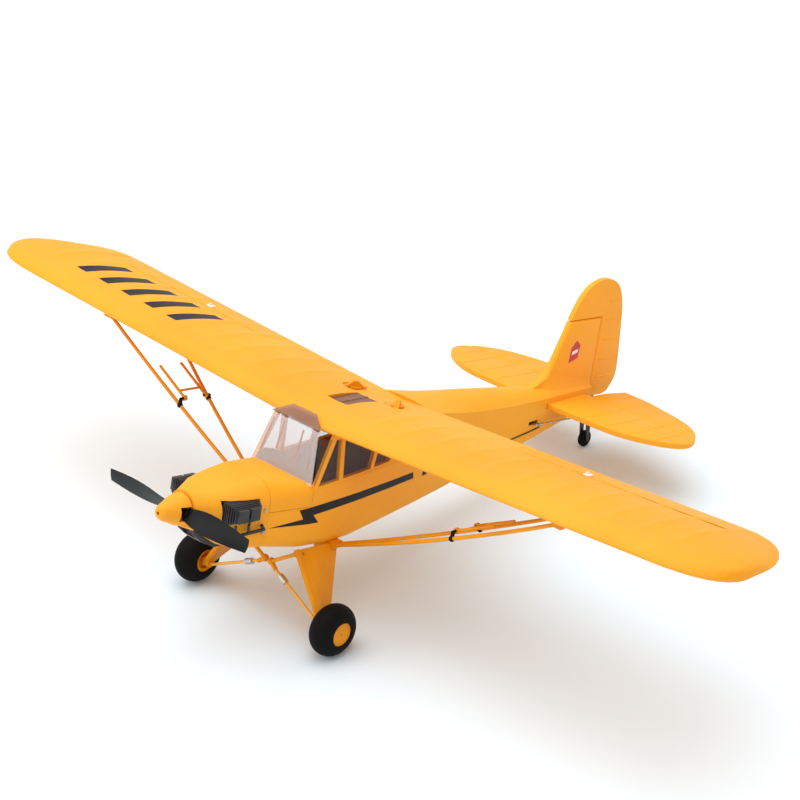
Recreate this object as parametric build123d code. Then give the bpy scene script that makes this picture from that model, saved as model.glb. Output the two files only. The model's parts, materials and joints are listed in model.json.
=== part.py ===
from build123d import *
import math
import os

os.makedirs("parts", exist_ok=True)

# Ready-to-fly foam monoplane, 650 mm span. Everything is modelled level, in flight datum
# millimetres: +X towards the left wing tip, +Y aft, +Z up, origin on the wing's leading edge
# at the centreline. finish_and_save() then stands the aeroplane on its three wheels.

# ---- driving dimensions -------------------------------------------------------------------
HALF_SPAN = 325.0
CHORD = 97.0
DIHEDRAL = 3.0
GROUND_ANGLE = 13.25          # nose-up angle when it stands on its wheels
CLEAR = 0.3                   # working gap between bodies that move past each other
RUNNING = 0.05                # radial clearance of a pin that turns in its hole

COWL_REAR = -43.0
THRUST_Z = -44.5
BELL_R = 8.8
PROP_Y = -96.0
PROP_RADIUS = 62.5
SPINNER_BASE_Y = -92.8
SPINNER_TIP_Y = -111.7
SPINNER_R = 10.2

WHEEL_X, WHEEL_Y, WHEEL_Z = 63.6, -9.2, -116.2
TYRE_R = 17.3
TYRE_TUBE_R = 8.9
AXLE_R = 1.0

AILERON_Y = 73.0              # hinge line, behind the wing's leading edge
AILERON_Z = 4.6
AILERON_NOSE_R = 1.2          # rounded front edge of the aileron, about its hinge line
AILERON_IN, AILERON_OUT = 112.0, 279.0
SERVO_SPAN = 172.0            # span station of the aileron servos and horns
AILERON_ARM = 12.0

STAB_Z = -17.5
STAB_T = 4.0
ELEVATOR_Y = 287.0
ELEVATOR_ARM = 10.5
RUDDER_Y = 295.0
RUDDER_T = 4.0
RUDDER_ARM = 9.5
FIN_TOP = 40.0
TAIL_SERVO_Y = 223.0
RUDDER_SERVO_Y = 193.0
RUDDER_SERVO_X = -7.5

TAILWHEEL_R = 6.0
TAILWHEEL_Y = 303.0
GROUND_OFFSET = -128.3        # distance of the ground plane from the datum
STERN_Y = 292.4

JURY_X = 125.0
JURY_Z = -30.0
JURY_LENGTH = 31.0
SCREW_X, SCREW_Y = 19.2, 68.1
HATCH_SEAM_Z = -46.0
HATCH_REAR = -9.0             # just ahead of the foot of the door pillar

nodes = {}


# ---- small helpers ------------------------------------------------------------------------
def box(x0, x1, y0, y1, z0, z1):
    """A block given by its limits along each axis."""
    return Pos((x0 + x1) / 2, (y0 + y1) / 2, (z0 + z1) / 2) * Box(x1 - x0, y1 - y0, z1 - z0)


def rod(start, end, radius):
    """A round rod between two points."""
    start, end = Vector(*start), Vector(*end)
    axis = end - start
    return Plane(origin=start, z_dir=axis) * Pos(0, 0, axis.length / 2) * Cylinder(radius, axis.length)


def disc_x(x0, x1, y, z, radius):
    """A disc or drilled hole whose axis lies along X."""
    return rod((x0, y, z), (x1, y, z), radius)


def disc_y(y0, y1, x, z, radius):
    """A disc or drilled hole whose axis lies along Y."""
    return rod((x, y0, z), (x, y1, z), radius)


def disc_z(z0, z1, x, y, radius):
    """A disc or drilled hole whose axis lies along Z."""
    return rod((x, y, z0), (x, y, z1), radius)


def side_prism(points, x0, x1):
    """A prism from x0 to x1 whose outline is given as (y, z) points."""
    outline = Plane.YZ.offset(x0) * make_face(Polyline(*points, close=True))
    return extrude(outline, amount=x1 - x0)


def plan_prism(points, z0, z1):
    """A prism from z0 to z1 whose outline is given as (x, y) points."""
    outline = Plane.XY.offset(z0) * make_face(Polyline(*points, close=True))
    return extrude(outline, amount=z1 - z0)


def corner(cx, cz, y, radius, start):
    """A quarter circle across the body, from the start angle, about (cx, cz)."""
    at = [math.radians(start + step) for step in (0, 45, 90)]
    spots = [(cx + radius * math.cos(a), y, cz + radius * math.sin(a)) for a in at]
    return ThreePointArc(*spots)


def hull_ring(y, w, low, high, r_low, r_high):
    """Cross-section of a hull: a box with rounded bilges and rounded shoulders."""
    bilge, shoulder = w - r_low, w - r_high
    edges = [
        Line((-bilge, y, low), (bilge, y, low)),
        corner(bilge, low + r_low, y, r_low, -90),
        Line((w, y, low + r_low), (w, y, high - r_high)),
        corner(shoulder, high - r_high, y, r_high, 0),
        Line((shoulder, y, high), (-shoulder, y, high)),
        corner(-shoulder, high - r_high, y, r_high, 90),
        Line((-w, y, high - r_high), (-w, y, low + r_low)),
        corner(-bilge, low + r_low, y, r_low, 180),
    ]
    return make_face(Wire(edges))


def deck_ring(y, w, low, r_low, crease, top):
    """Cross-section of the tail: slab sides up to a crease, with an arched deck on top."""
    bilge = w - r_low
    edges = [
        Line((-bilge, y, low), (bilge, y, low)),
        corner(bilge, low + r_low, y, r_low, -90),
        Line((w, y, low + r_low), (w, y, crease)),
        ThreePointArc((w, y, crease), (0, y, top), (-w, y, crease)),
        Line((-w, y, crease), (-w, y, low + r_low)),
        corner(-bilge, low + r_low, y, r_low, 180),
    ]
    return make_face(Wire(edges))


def loft_rings(section, stations):
    """A ruled skin through cross-sections, as one closed solid."""
    return loft([section(*station) for station in stations], ruled=True)


def cabin_ring(y, w_sill, w_top, low, high):
    """Cross-section of the cabin: a trapezium, a little narrower at the roof."""
    points = [(-w_sill, y, low), (w_sill, y, low), (w_top, y, high), (-w_top, y, high)]
    return make_face(Polyline(*points, close=True))


def mirrored(shape):
    """The same shape on the right-hand side of the aeroplane."""
    return mirror(shape, about=Plane.YZ)


def both_sides(shape):
    """A left-hand piece together with its right-hand twin, as two solids."""
    return Compound([*shape.solids(), *mirrored(shape).solids()])


def on_wing(shape):
    """Turns a shape built on a flat left wing up to the dihedral angle."""
    return Rot(0, -DIHEDRAL, 0) * shape


def add(name, shape):
    """Files a finished sub-part under its node's name."""
    solids = shape.solids()
    nodes[name] = solids[0] if len(solids) == 1 else Compound(solids)


LEFT_HALF = box(0, 400, -200, 400, -200, 200)
TIP_STATION = HALF_SPAN / math.cos(math.radians(DIHEDRAL))

# ---- wing ---------------------------------------------------------------------------------
# points along the section as fractions of the chord
WING_TOP = [(0.0, 0.0), (0.045, 0.052), (0.16, 0.084), (0.36, 0.097), (0.62, 0.081), (0.82, 0.05),
            (1.0, 0.018)]
WING_BOTTOM = [(0.0, 0.0), (0.04, -0.024), (0.16, -0.032), (0.42, -0.022), (0.72, -0.008), (1.0, 0.0)]
TIP_START, TIP_Y = 275.0, 34.0     # where the tip's curve starts, and its outermost point


def wing_edges(station):
    """Leading and trailing edge at a span station: straight, with a rounded tip."""
    nose, tail = 0.0, CHORD
    if station > TIP_START:
        along = (station - TIP_START) / (TIP_STATION + 0.05 - TIP_START)
        nose = TIP_Y - TIP_Y * (1 - along ** 2.6) ** (1 / 2.6)
        tail = TIP_Y + (CHORD - TIP_Y) * (1 - along ** 2.2) ** (1 / 2.2)
    return nose, tail


def aerofoil(station, height=1.0):
    """The wing's section at a span station, as a face across the span."""
    nose, tail = wing_edges(station)
    chord = tail - nose
    slim = math.sqrt(chord / CHORD) * height
    upper = [(station, nose + a * chord, b * CHORD * slim) for a, b in WING_TOP]
    lower = [(station, nose + a * chord, b * CHORD * slim) for a, b in WING_BOTTOM]
    edges = [
        Spline(*upper, tangents=((0, 0, 1), (0, 1, -0.18)), tangent_scalars=(0.5, 1)),
        Line(upper[-1], lower[-1]),
        Spline(*lower, tangents=((0, 0, -1), (0, 1, 0.03)), tangent_scalars=(0.4, 1)),
    ]
    return make_face(Wire(edges))


def wing_blank():
    """The left wing with its aileron still in one piece, level."""
    stations = [-2, TIP_START, 286, 296, 304, 311, 316.5, 320.7, 323.5, 325, TIP_STATION]
    return loft([aerofoil(s) for s in stations], ruled=True)


def aileron_cut(gap, bevel):
    """Room for the aileron behind its hinge line, with the bevel's run below the hinge."""
    front = AILERON_Y - gap
    points = [(front, 12), (front, AILERON_Z), (front + bevel, -4), (130, -4), (130, 12)]
    room = side_prism(points, AILERON_IN - gap, AILERON_OUT + gap)
    nose = disc_x(AILERON_IN - gap, AILERON_OUT + gap, AILERON_Y, AILERON_Z, AILERON_NOSE_R + gap)
    return room + nose


def leading_edge_notch():
    """The notch in the leading edge over the windscreen."""
    half = [(22.5, -8), (22.5, -1.5), (10.9, 3.4)]
    return plan_prism(half + [(-x, y) for x, y in reversed(half)], -8, 14)


def servo_arm(length, hole_r=0.6):
    """A single-ended servo arm along -X from a shaft on Z, drilled for its pushrod."""
    hub = disc_z(0, 2.2, 0, 0, 2.6)
    blade = box(-length, 0, -1.4, 1.4, 0.6, 1.8) + disc_z(0.6, 1.8, -length, 0, 1.8)
    return hub + blade - disc_z(-1, 4, -length, 0, hole_r)


AILERON_SHAFT_Y = 47.0
AILERON_PIVOT_Z = 1.8
blank = wing_blank()
# each aileron servo lies on its side in the wing, with its shaft pointing inboard
SERVO_FRONT, SERVO_BACK = AILERON_SHAFT_Y - 15.0, AILERON_SHAFT_Y + 5.0
servo_case = box(0.4, 8.9, SERVO_FRONT, SERVO_BACK, -2.5, 6.1)
servo_boss = disc_x(-0.6, 0.4, AILERON_SHAFT_Y, AILERON_PIVOT_Z, 2.8)
aileron_servo = Pos(SERVO_SPAN, 0, 0) * (servo_case + servo_boss)
servo_pocket = Pos(SERVO_SPAN, 0, 0) * box(0.3, 9.0, SERVO_FRONT - 0.1, SERVO_BACK + 0.1, -6, 6.2)
arm_slot = Pos(SERVO_SPAN, 0, 0) * box(-4.2, 0.35, AILERON_SHAFT_Y - 8, AILERON_SHAFT_Y + 8, -6, 5.6)
spar_bore = disc_x(-3, 215, 26, 2.6, 2.0)
skylight_hole = box(-9.3, 9.3, 31.5, 59.8, -10, 20)
screw_seat = disc_z(7.3, 20, SCREW_X, SCREW_Y, 8.6)
screw_bore = disc_z(-15, 20, SCREW_X, SCREW_Y, 1.6)

panel = on_wing(blank - aileron_cut(CLEAR, 0) - servo_pocket - arm_slot - spar_bore) & LEFT_HALF
panel = panel - leading_edge_notch() - skylight_hole - screw_seat - screw_bore
add("wing_left", panel)
add("wing_right", mirrored(panel))
wing_volume = on_wing(blank) & LEFT_HALF
wing_volume = wing_volume + mirrored(wing_volume)

horn_foot = box(SERVO_SPAN - 6.2, SERVO_SPAN - 1.2, 76.6, 83.6, -1.6, -0.6)
# the aileron's front face leans back below the hinge, so its trailing edge can swing down
aileron = (blank & aileron_cut(0, 4.0)) - horn_foot
add("aileron_left", on_wing(aileron))
add("aileron_right", mirrored(on_wing(aileron)))


def aileron_horn():
    """White control horn under the aileron, its hole one arm's length below the hinge."""
    hole_z = AILERON_Z - AILERON_ARM
    points = [(76.6, -0.7), (83.0, -0.7), (75.2, hole_z - 1.6), (71.4, hole_z - 1.6),
              (71.4, hole_z + 1.4)]
    plate = side_prism(points, SERVO_SPAN - 4.2, SERVO_SPAN - 3.0)
    return horn_foot + plate - disc_x(SERVO_SPAN - 6, SERVO_SPAN, AILERON_Y, hole_z, 0.6)


add("aileron_horn_left", on_wing(aileron_horn()))
add("aileron_horn_right", mirrored(nodes["aileron_horn_left"]))

ARM_TIP_Z = AILERON_PIVOT_Z - AILERON_ARM
aileron_arm = disc_x(-2.8, -0.7, AILERON_SHAFT_Y, AILERON_PIVOT_Z, 2.5)
aileron_arm += box(-2.2, -1.0, AILERON_SHAFT_Y - 1.4, AILERON_SHAFT_Y + 1.4, ARM_TIP_Z, AILERON_PIVOT_Z)
aileron_arm += disc_x(-2.2, -1.0, AILERON_SHAFT_Y, ARM_TIP_Z, 1.8)
aileron_arm -= disc_x(-4, 0, AILERON_SHAFT_Y, ARM_TIP_Z, 0.6)
add("aileron_arm_left", on_wing(Pos(SERVO_SPAN, 0, 0) * aileron_arm))
add("aileron_arm_right", mirrored(nodes["aileron_arm_left"]))


def pushrod(front, rear, side, front_reach, rear_reach):
    """A wire with a short bent pin at each end that sits in an arm's or a horn's hole."""
    pin = 0.6 - RUNNING
    wire = rod(front, rear, 0.6) + Pos(*front) * Sphere(0.6) + Pos(*rear) * Sphere(0.6)
    front_end = tuple(f + front_reach * s for f, s in zip(front, side))
    rear_end = tuple(r + rear_reach * s for r, s in zip(rear, side))
    return wire + rod(front, front_end, pin) + rod(rear, rear_end, pin)


rod_x = SERVO_SPAN - 5.4
aileron_rod = pushrod(
    (rod_x, AILERON_SHAFT_Y, ARM_TIP_Z),
    (rod_x, AILERON_Y, AILERON_Z - AILERON_ARM),
    (1, 0, 0), 5.4 - 0.6, 5.4 - 2.6,
)
add("aileron_pushrod_left", on_wing(aileron_rod))
add("aileron_pushrod_right", mirrored(nodes["aileron_pushrod_left"]))

spar_tube = disc_x(0.3, 214, 26, 2.6, 2.0) - disc_x(-1, 220, 26, 2.6, 1.1)
add("wing_spar", both_sides(on_wing(spar_tube) & LEFT_HALF))


def thumb_screw():
    """Wing bolt with a round head and a raised finger grip."""
    head = disc_z(7.7, 8.7, SCREW_X, SCREW_Y, 4.4)
    grip = side_prism([(-5.6, 8.7), (5.6, 8.7), (1.6, 12.2), (-1.6, 12.2)], -1.7, 1.7)
    ears = box(-1.5, 1.5, -7.6, 7.6, 7.7, 8.7)
    shank = disc_z(-14, 7.7, SCREW_X, SCREW_Y, 1.6 - RUNNING)
    return head + shank + Pos(SCREW_X, SCREW_Y, 0) * Rot(0, 0, 35) * (grip + ears)


add("thumb_screw_left", thumb_screw())
add("thumb_screw_right", mirrored(thumb_screw()))

# ---- fuselage -----------------------------------------------------------------------------
NOSE_AND_CABIN = [
    (COWL_REAR, 26.0, -72.0, -26.5, 11, 14),
    (-11.5, 29.5, -75.8, -31.5, 10, 7),
    (15.0, 29.5, -77.0, -32.5, 9, 2),
    (33.0, 29.2, -75.0, -30.2, 8, 2),
    (64.0, 27.6, -69.3, -26.8, 7, 2),
    (CHORD + CLEAR, 25.0, -63.5, -26.8, 6, 2),
]
TAIL = [
    (CHORD + CLEAR, 25.0, -63.5, 6, 1.0, 4.0),
    (129.0, 21.3, -58.5, 5, -4.5, 2.3),
    (158.0, 18.4, -53.3, 5, -8.0, 0.6),
    (197.0, 15.0, -46.4, 4, -10.6, -2.8),
    (227.0, 11.8, -40.6, 3.5, -11.2, -5.5),
    (265.0, 8.4, -32.5, 3, -11.5, -8.0),
    (STERN_Y, 5.5, -28.0, 2.5, -12.0, -9.5),
]
CABIN = [(-12.0, 29.5, 27.2), (30.0, 29.2, 27.2), (64.0, 27.6, 26.2), (CHORD + CLEAR, 25.0, 24.4)]
PILLAR_FOOT, PILLAR_HEAD = (-8.6, -34.4), (5.6, 0.0)


def cabin_walls(inset):
    """The slab-sided cabin above the sill, less an inset all round."""
    rings = [cabin_ring(y, a - inset, b - inset, -40, -0.8) for y, a, b in CABIN]
    return loft(rings, ruled=True)


def hull_solid():
    """The outside of the fuselage as one solid, fin included."""
    lower = loft_rings(hull_ring, NOSE_AND_CABIN)
    back = loft_rings(deck_ring, TAIL)
    profile = [PILLAR_FOOT, PILLAR_HEAD, (CHORD + CLEAR, 0), (CHORD + CLEAR, -45), (-8.6, -45)]
    upper = cabin_walls(0) & side_prism(profile, -40, 40)
    fin_profile = [(212, -10), (226, -6.2), (234, -3.4), (241, 1.5), (247.5, 14), (253, 26.6),
                   (258.5, FIN_TOP), (STERN_Y, FIN_TOP), (STERN_Y, -20)]
    fin = side_prism(fin_profile, -3.0, 3.0)
    return lower + upper + back + fin


WINDOWS = [
    [(-5.2, -33.4), (13.2, -31.6), (11.6, -4.2), (6.9, -4.2)],
    [(16.7, -31.2), (42.0, -28.6), (47.0, -4.2), (14.8, -4.2)],
    [(45.2, -28.2), (60.0, -26.4), (64.0, -20.0), (62.0, -4.2), (50.2, -4.2)],
]


def hatch_zone(gap):
    """Everything that lifts off with the nose hatch, bounded by its seam."""
    return box(-45, 45, COWL_REAR + gap, HATCH_REAR - gap, HATCH_SEAM_Z + gap, -10)


hull = hull_solid()
bay = loft_rings(hull_ring, [(-39.0, 21.5, -66.0, -36.0, 6, 1), (-11.5, 24.5, -70.0, -35.0, 6, 1),
                             (15.0, 24.5, -71.0, -35.0, 6, 1), (66.0, 24.2, -63.0, -33.0, 5, 1)])
cabin_room = cabin_walls(3.0) & side_prism([(-14, -40), (-14, 8), (66, 8), (66, -40)], -40, 40)
tail_room = loft_rings(hull_ring, [(66.0, 18, -58, -8, 5, 5), (129.0, 16, -53, -10, 4, 5),
                                   (180.0, 13.2, -45, -13, 4, 4), (229.5, 9.6, -36, -13, 3, 3)])
shell = hull - bay - cabin_room - tail_room
for outline in WINDOWS:
    shell -= side_prism(outline, -45, 45)
stab_slot = box(-40, 40, 236.8, ELEVATOR_Y - 2.3, STAB_Z - STAB_T / 2, STAB_Z + STAB_T / 2)
leg_tang = box(21.0, 27.0, 8.0, 20.0, -81.0, -68.0)
elevator_arm_room = box(8.4, 10.8, 216.4, 229.6, -30.0, -13.6)
rudder_arm_slot = box(-24, -3, RUDDER_SERVO_Y - 7.5, RUDDER_SERVO_Y + 7.5, -25.6, -20.2)
elevator_slot = box(10.6, 16, 217.5, 228.5, -29.0, -26.0)
joiner_bore = disc_x(-12, 12, ELEVATOR_Y, STAB_Z, 1.6)
nut_holes = screw_bore + mirrored(screw_bore)
for cutter in (stab_slot, both_sides(leg_tang), elevator_arm_room, rudder_arm_slot, elevator_slot,
               joiner_bore, hatch_zone(0), wing_volume):
    shell -= cutter
right_half = mirrored(LEFT_HALF)
fuselage_left = shell & LEFT_HALF
fuselage_right = shell & right_half
add("fuselage_left", fuselage_left)
add("fuselage_right", fuselage_right)

# panes sit 0.6 mm under the skin and fill the window openings edge to edge
pane_skin = (cabin_walls(0.6) - cabin_walls(1.6))
panes = [pane_skin & side_prism(outline, 10, 45) for outline in WINDOWS]
foot_outline = Polyline((28.6, -8.2), (28.3, -8.5), (27.8, -8.3), (28.1, -8.0), close=True)
head_outline = Polyline((27.2, 3.2), (22.0, -4.0), (21.5, -3.6), (26.7, 3.6), close=True)
quarter_foot = Plane.XY.offset(-32.6) * make_face(foot_outline)
quarter_head = Plane.XY.offset(-4.0) * make_face(head_outline)
panes.append(loft([quarter_foot, quarter_head], ruled=True) - hull)
left_panes = Compound([solid for pane in panes for solid in pane.solids()])
add("side_windows", both_sides(left_panes))

# ---- lift-off nose hatch ------------------------------------------------------------------
deck = loft_rings(hull_ring, NOSE_AND_CABIN[:3]) & hatch_zone(CLEAR)
deck_room = loft_rings(hull_ring, [(-39.0, 21.5, -60, -32.0, 6, 9), (-13.0, 24.5, -60, -36.5, 6, 5),
                                   (15.0, 24.5, -60, -36.5, 6, 4)])
add("nose_hatch", deck - deck_room)

# arched outline of the instrument hood, in (x, z)
DASH = [(-24.2, -31.3), (-22.8, -27.4), (-18.6, -23.6), (-12.5, -22.0), (12.5, -22.0), (18.6, -23.6),
        (22.8, -27.4), (24.2, -31.3)]
SCREEN_RAKE = 0.2027          # how far the windscreen leans back for each millimetre of height


def behind_screen(z):
    """A point (y, z) just behind the windscreen's inner face."""
    return (-10.7 + SCREEN_RAKE * (z + 32.6), z)


hood = extrude(Plane.XZ.offset(6.4) * make_face(Polyline(*DASH, close=True)), amount=4.3)
hood &= side_prism([behind_screen(-36), behind_screen(2), (0, 2), (0, -36)], -40, 40)
add("instrument_panel", hood)

glass_low, glass_high = -32.6, 0.2


def screen_plane(depth):
    """Half-widths and heights of the windscreen at a given depth behind its face."""
    low = [(x, -11.6 + depth, glass_low) for x in (-28.4, 28.4)]
    high = [(x, -4.95 + depth, glass_high) for x in (21.5, -21.5)]
    return make_face(Polyline(*low, *high, close=True))


screen = loft([screen_plane(0.0), screen_plane(0.7)], ruled=True)
add("windscreen", screen - nodes["nose_hatch"])

brace = rod((9.0, -8.2, -20.6), (8.6, -5.1, -2.6), 0.8) + rod((21.4, -9.0, -25.2), (17.8, -5.1, -2.6), 0.8)
brace -= nodes["instrument_panel"]
brace -= loft([screen_plane(-2.0), screen_plane(0.7)], ruled=True)
add("windscreen_frame", both_sides(brace))

magnet = disc_z(HATCH_SEAM_Z + CLEAR, HATCH_SEAM_Z + CLEAR + 1.5, 23.9, -36.0, 1.4)
nodes["nose_hatch"] = nodes["nose_hatch"] - both_sides(magnet)
add("hatch_magnets", both_sides(magnet))

# ---- cowling and power train --------------------------------------------------------------
COWL = [
    (COWL_REAR - 0.1, 26.0, -72.0, -26.5, 11, 14),
    (-60.0, 25.5, -70.5, -29.0, 11, 14),
    (-72.0, 23.0, -66.5, -31.0, 12, 13),
    (-82.0, 17.5, -60.0, -32.5, 12, 12),
    (-88.0, 13.5, -57.6, -32.4, 12, 12),
    (-91.8, 12.0, -56.4, -32.6, 11.8, 11.8),
]


def cowl_room():
    """The hollow inside the cowling."""
    rings = [(y, w - 2.2, low + 2.2, high - 2.2, r1 - 2, r2 - 2) for y, w, low, high, r1, r2 in COWL[:5]]
    rings[0] = (COWL_REAR + 1,) + rings[0][1:]
    return loft_rings(hull_ring, rings)


cowl_outside = loft_rings(hull_ring, COWL)
cylinder_port = both_sides(box(16, 40, -77.2, -51.0, -49.4, -35.6))
cowl = cowl_outside - cowl_room() - cylinder_port - disc_y(-100, -80, 0, THRUST_Z, 8.0)
cowl -= both_sides(box(7, 12, -95, -80, -55.4, -52.4))
screw_spots = [(-44.9, -43.6), (-44.3, -58.4)]
add("cowling", max(cowl.solids(), key=lambda s: s.volume))
screws = Compound([disc_x(26.0, 26.7, y - 1.6, z, 1.3) for y, z in screw_spots])
nodes["cowling"] = nodes["cowling"] - both_sides(screws)
add("cowling_screws", both_sides(screws))


def cylinder():
    """A dummy engine cylinder: finned barrel, rocker cover and spark plug."""
    barrel = box(17.0, 26.0, -75.6, -52.6, -48.5, -36.6)
    for step in range(7):
        x = 19.5 + 1.5 * step
        size = 0.6 * max(step - 3, 0)
        barrel += box(x, x + 0.8, -76.6 + size, -51.6 - size, -48.8 + size, -36.0 - size)
        barrel += box(x, x + 1.5, -75.1 + size, -53.1 - size, -47.6 + size, -37.0 - size)
    cover = box(29.0, 31.6, -73.6, -65.6, -46.4, -38.2) + box(29.0, 31.6, -63.8, -55.8, -46.4, -38.2)
    plug = disc_z(-49.6, -46.5, 28.0, -60.8, 0.9)
    return barrel + cover + plug


add("cylinders", both_sides(cylinder()))


def exhaust():
    """Two stubs into a collector pipe with a turned-up tail."""
    pipe = rod((28.3, -72.5, -48.8), (28.3, -71.6, -55.6), 0.9)
    pipe += rod((28.3, -61.4, -49.8), (28.3, -60.6, -55.4), 0.9)
    pipe += rod((28.3, -73.0, -55.9), (28.6, -48.0, -54.9), 1.1) + Pos(28.6, -48.0, -54.9) * Sphere(1.1)
    pipe += rod((28.6, -48.0, -54.9), (28.6, -50.6, -51.6), 1.1)
    return pipe - nodes["cylinders"] - nodes["cowling_screws"]


add("exhausts", both_sides(exhaust() - cowl_outside))

scoop_profile = [(-86.5, -60.4), (-79, -66.5), (-67, -71.8), (-62, -71.6), (-62, -62), (-86.5, -52)]
scoop = side_prism(scoop_profile, -7.5, 7.5)
scoop -= box(-6, 6, -90, -80, -64.5, -59.2)
add("air_scoop", max((scoop - cowl_outside).solids(), key=lambda s: s.volume))

firewall = box(-19, 19, COWL_REAR + 0.2, COWL_REAR + 2.4, -62, -32)
firewall += disc_y(COWL_REAR - 27, COWL_REAR + 0.2, 0, THRUST_Z, 6.0)
firewall -= disc_y(COWL_REAR - 30, COWL_REAR + 5, 0, THRUST_Z, 2.6)
for name in ("fuselage_left", "fuselage_right"):
    nodes[name] = nodes[name] - box(-19, 19, COWL_REAR - 1, COWL_REAR + 2.4, -62, -32)
firewall -= hatch_zone(-0.1)
add("firewall", max(firewall.solids(), key=lambda s: s.volume))

stator = disc_y(-79.0, COWL_REAR - 27.2, 0, THRUST_Z, 3.4) + disc_y(-77.5, -72.5, 0, THRUST_Z, 5.6)
for step in range(9):
    stator += Pos(0, -75, THRUST_Z) * Rot(0, 40 * step, 0) * box(-1.2, 1.2, -2.5, 2.5, 5, BELL_R - 1.4)
stator -= disc_y(-85, -60, 0, THRUST_Z, 1.5 + RUNNING)
add("motor_stator", stator)
bell = disc_y(-83.0, -71.0, 0, THRUST_Z, BELL_R) - disc_y(-81.0, -70.0, 0, THRUST_Z, BELL_R - 0.9)
for step in range(5):
    bell -= Pos(0, 0, THRUST_Z) * Rot(0, 72 * step, 0) * box(-2.0, 2.0, -84, -80, 3.6, 7.2)
bell += disc_y(-104.0, -68.0, 0, THRUST_Z, 1.5)
add("motor_bell", bell)

BLADE = [(8.0, 8.0, 42), (24.0, 13.5, 27), (44.0, 12.5, 18), (PROP_RADIUS, 8.6, 13)]


def blade_section(radius, chord, pitch, thick):
    """A lens-shaped blade section square to the blade, turned to its pitch."""
    lens = [(-chord / 2, 0), (chord / 2, 0)]
    upper = ThreePointArc(lens[0], (0, thick), lens[1])
    lower = ThreePointArc(lens[1], (0, -0.35 * thick), lens[0])
    face = make_face(Wire([upper, lower]))
    station = Plane(origin=(radius, PROP_Y, THRUST_Z), x_dir=(0, 0, 1), z_dir=(1, 0, 0))
    return station * Rot(0, 0, 180 - pitch) * face


def propeller():
    """Two-blade propeller with square tips on a short boss."""
    sections = [blade_section(r, c, p, 1.9 - 0.9 * r / PROP_RADIUS) for r, c, p in BLADE]
    blade = loft(sections, ruled=False)
    root = rod((0, PROP_Y, THRUST_Z), (10.5, PROP_Y, THRUST_Z), 2.2)
    hub = disc_y(PROP_Y - 3.0, PROP_Y + 3.0, 0, THRUST_Z, 5.6)
    arm = blade + root
    return hub + arm + Pos(0, 0, THRUST_Z) * Rot(0, 180, 0) * Pos(0, 0, -THRUST_Z) * arm


prop = propeller() - disc_y(-110, -80, 0, THRUST_Z, 1.5)
add("propeller", prop)


def ogive(radius, base_y, tip_y, blunt):
    """A bullet turned about Y, with a flat end of the given radius."""
    span = tip_y - base_y
    shoulder = (radius * 0.93, base_y + span * 0.3)
    cheek = (radius * 0.62, base_y + span * 0.7)
    curve = Spline((radius, base_y), shoulder, cheek, (blunt, tip_y), tangents=((0, -1), (-1, -0.35)))
    rest = Polyline((blunt, tip_y), (0, tip_y), (0, base_y), (radius, base_y))
    return revolve(make_face(Wire([curve, *rest.edges()])), axis=Axis.Y)


def spinner():
    """A bullet-shaped spinner, hollow, open behind and slotted for the blades."""
    outer = ogive(SPINNER_R, SPINNER_BASE_Y, SPINNER_TIP_Y, 1.9)
    inner = ogive(SPINNER_R - 1.3, SPINNER_BASE_Y + 1, SPINNER_TIP_Y + 4.5, 1.2)
    body = Pos(0, 0, THRUST_Z) * (outer - inner)
    body -= disc_y(SPINNER_TIP_Y - 1, SPINNER_TIP_Y + 2.2, 0, THRUST_Z, 1.2)
    body -= box(-15, 15, PROP_Y - 4.4, SPINNER_BASE_Y + 1, THRUST_Z - 4.6, THRUST_Z + 4.6)
    return body - disc_y(-105, -80, 0, THRUST_Z, 1.5)


add("spinner", spinner() - prop)

# ---- inside -------------------------------------------------------------------------------
tub = box(-24.0, 24.0, -2.0, 60.0, -52.0, -51.0)
tub += both_sides(box(23.0, 24.0, -2.0, 60.0, -51.0, -36.0)) + box(-23.0, 23.0, 59.0, 60.0, -51.0, -8.0)
add("cockpit_tub", tub)


def seat(y):
    """A bucket seat with a rounded back."""
    cushion = box(-14, 14, y, y + 15, -51.0, -43.0)
    back = Pos(0, y + 14, 0) * side_prism([(0, -51), (4, -51), (8, -21), (4.5, -21)], -13, 13)
    rounded = disc_y(y + 10, y + 28, 0, -31, 13.0) + box(-13, 13, y + 10, y + 28, -52, -31)
    return cushion + (back & rounded)


add("seats", Compound([seat(4.0), seat(31.0)]))
add("battery", box(-15.5, 15.5, -37.0, 8.0, -66.0, -53.0))
board = box(-12, 12, 16, 46, -62.0, -60.4)
chips = box(-8, 8, 20, 34, -60.4, -57.4) + box(-5, 5, 38, 45, -60.4, -56.0)
add("receiver_board", board + chips)

elevator_case = box(-9.2, 7.9, 208.0, 228.0, STAB_Z - 4.2, STAB_Z + 4.2)
elevator_servo = elevator_case + disc_x(7.9, 8.8, TAIL_SERVO_Y, STAB_Z, 2.6)
rudder_case = box(RUDDER_SERVO_X - 4.2, RUDDER_SERVO_X + 4.2, 178.0, 198.0, -41.0, -26.0)
rudder_servo = rudder_case + disc_z(-26.0, -24.6, RUDDER_SERVO_X, RUDDER_SERVO_Y, 2.8)
wing_servo = on_wing(aileron_servo)
add("servos", Compound([elevator_servo, rudder_servo, *both_sides(wing_servo).solids()]))

for name in ("fuselage_left", "fuselage_right"):
    nodes[name] = nodes[name] - elevator_case - rudder_case

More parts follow.
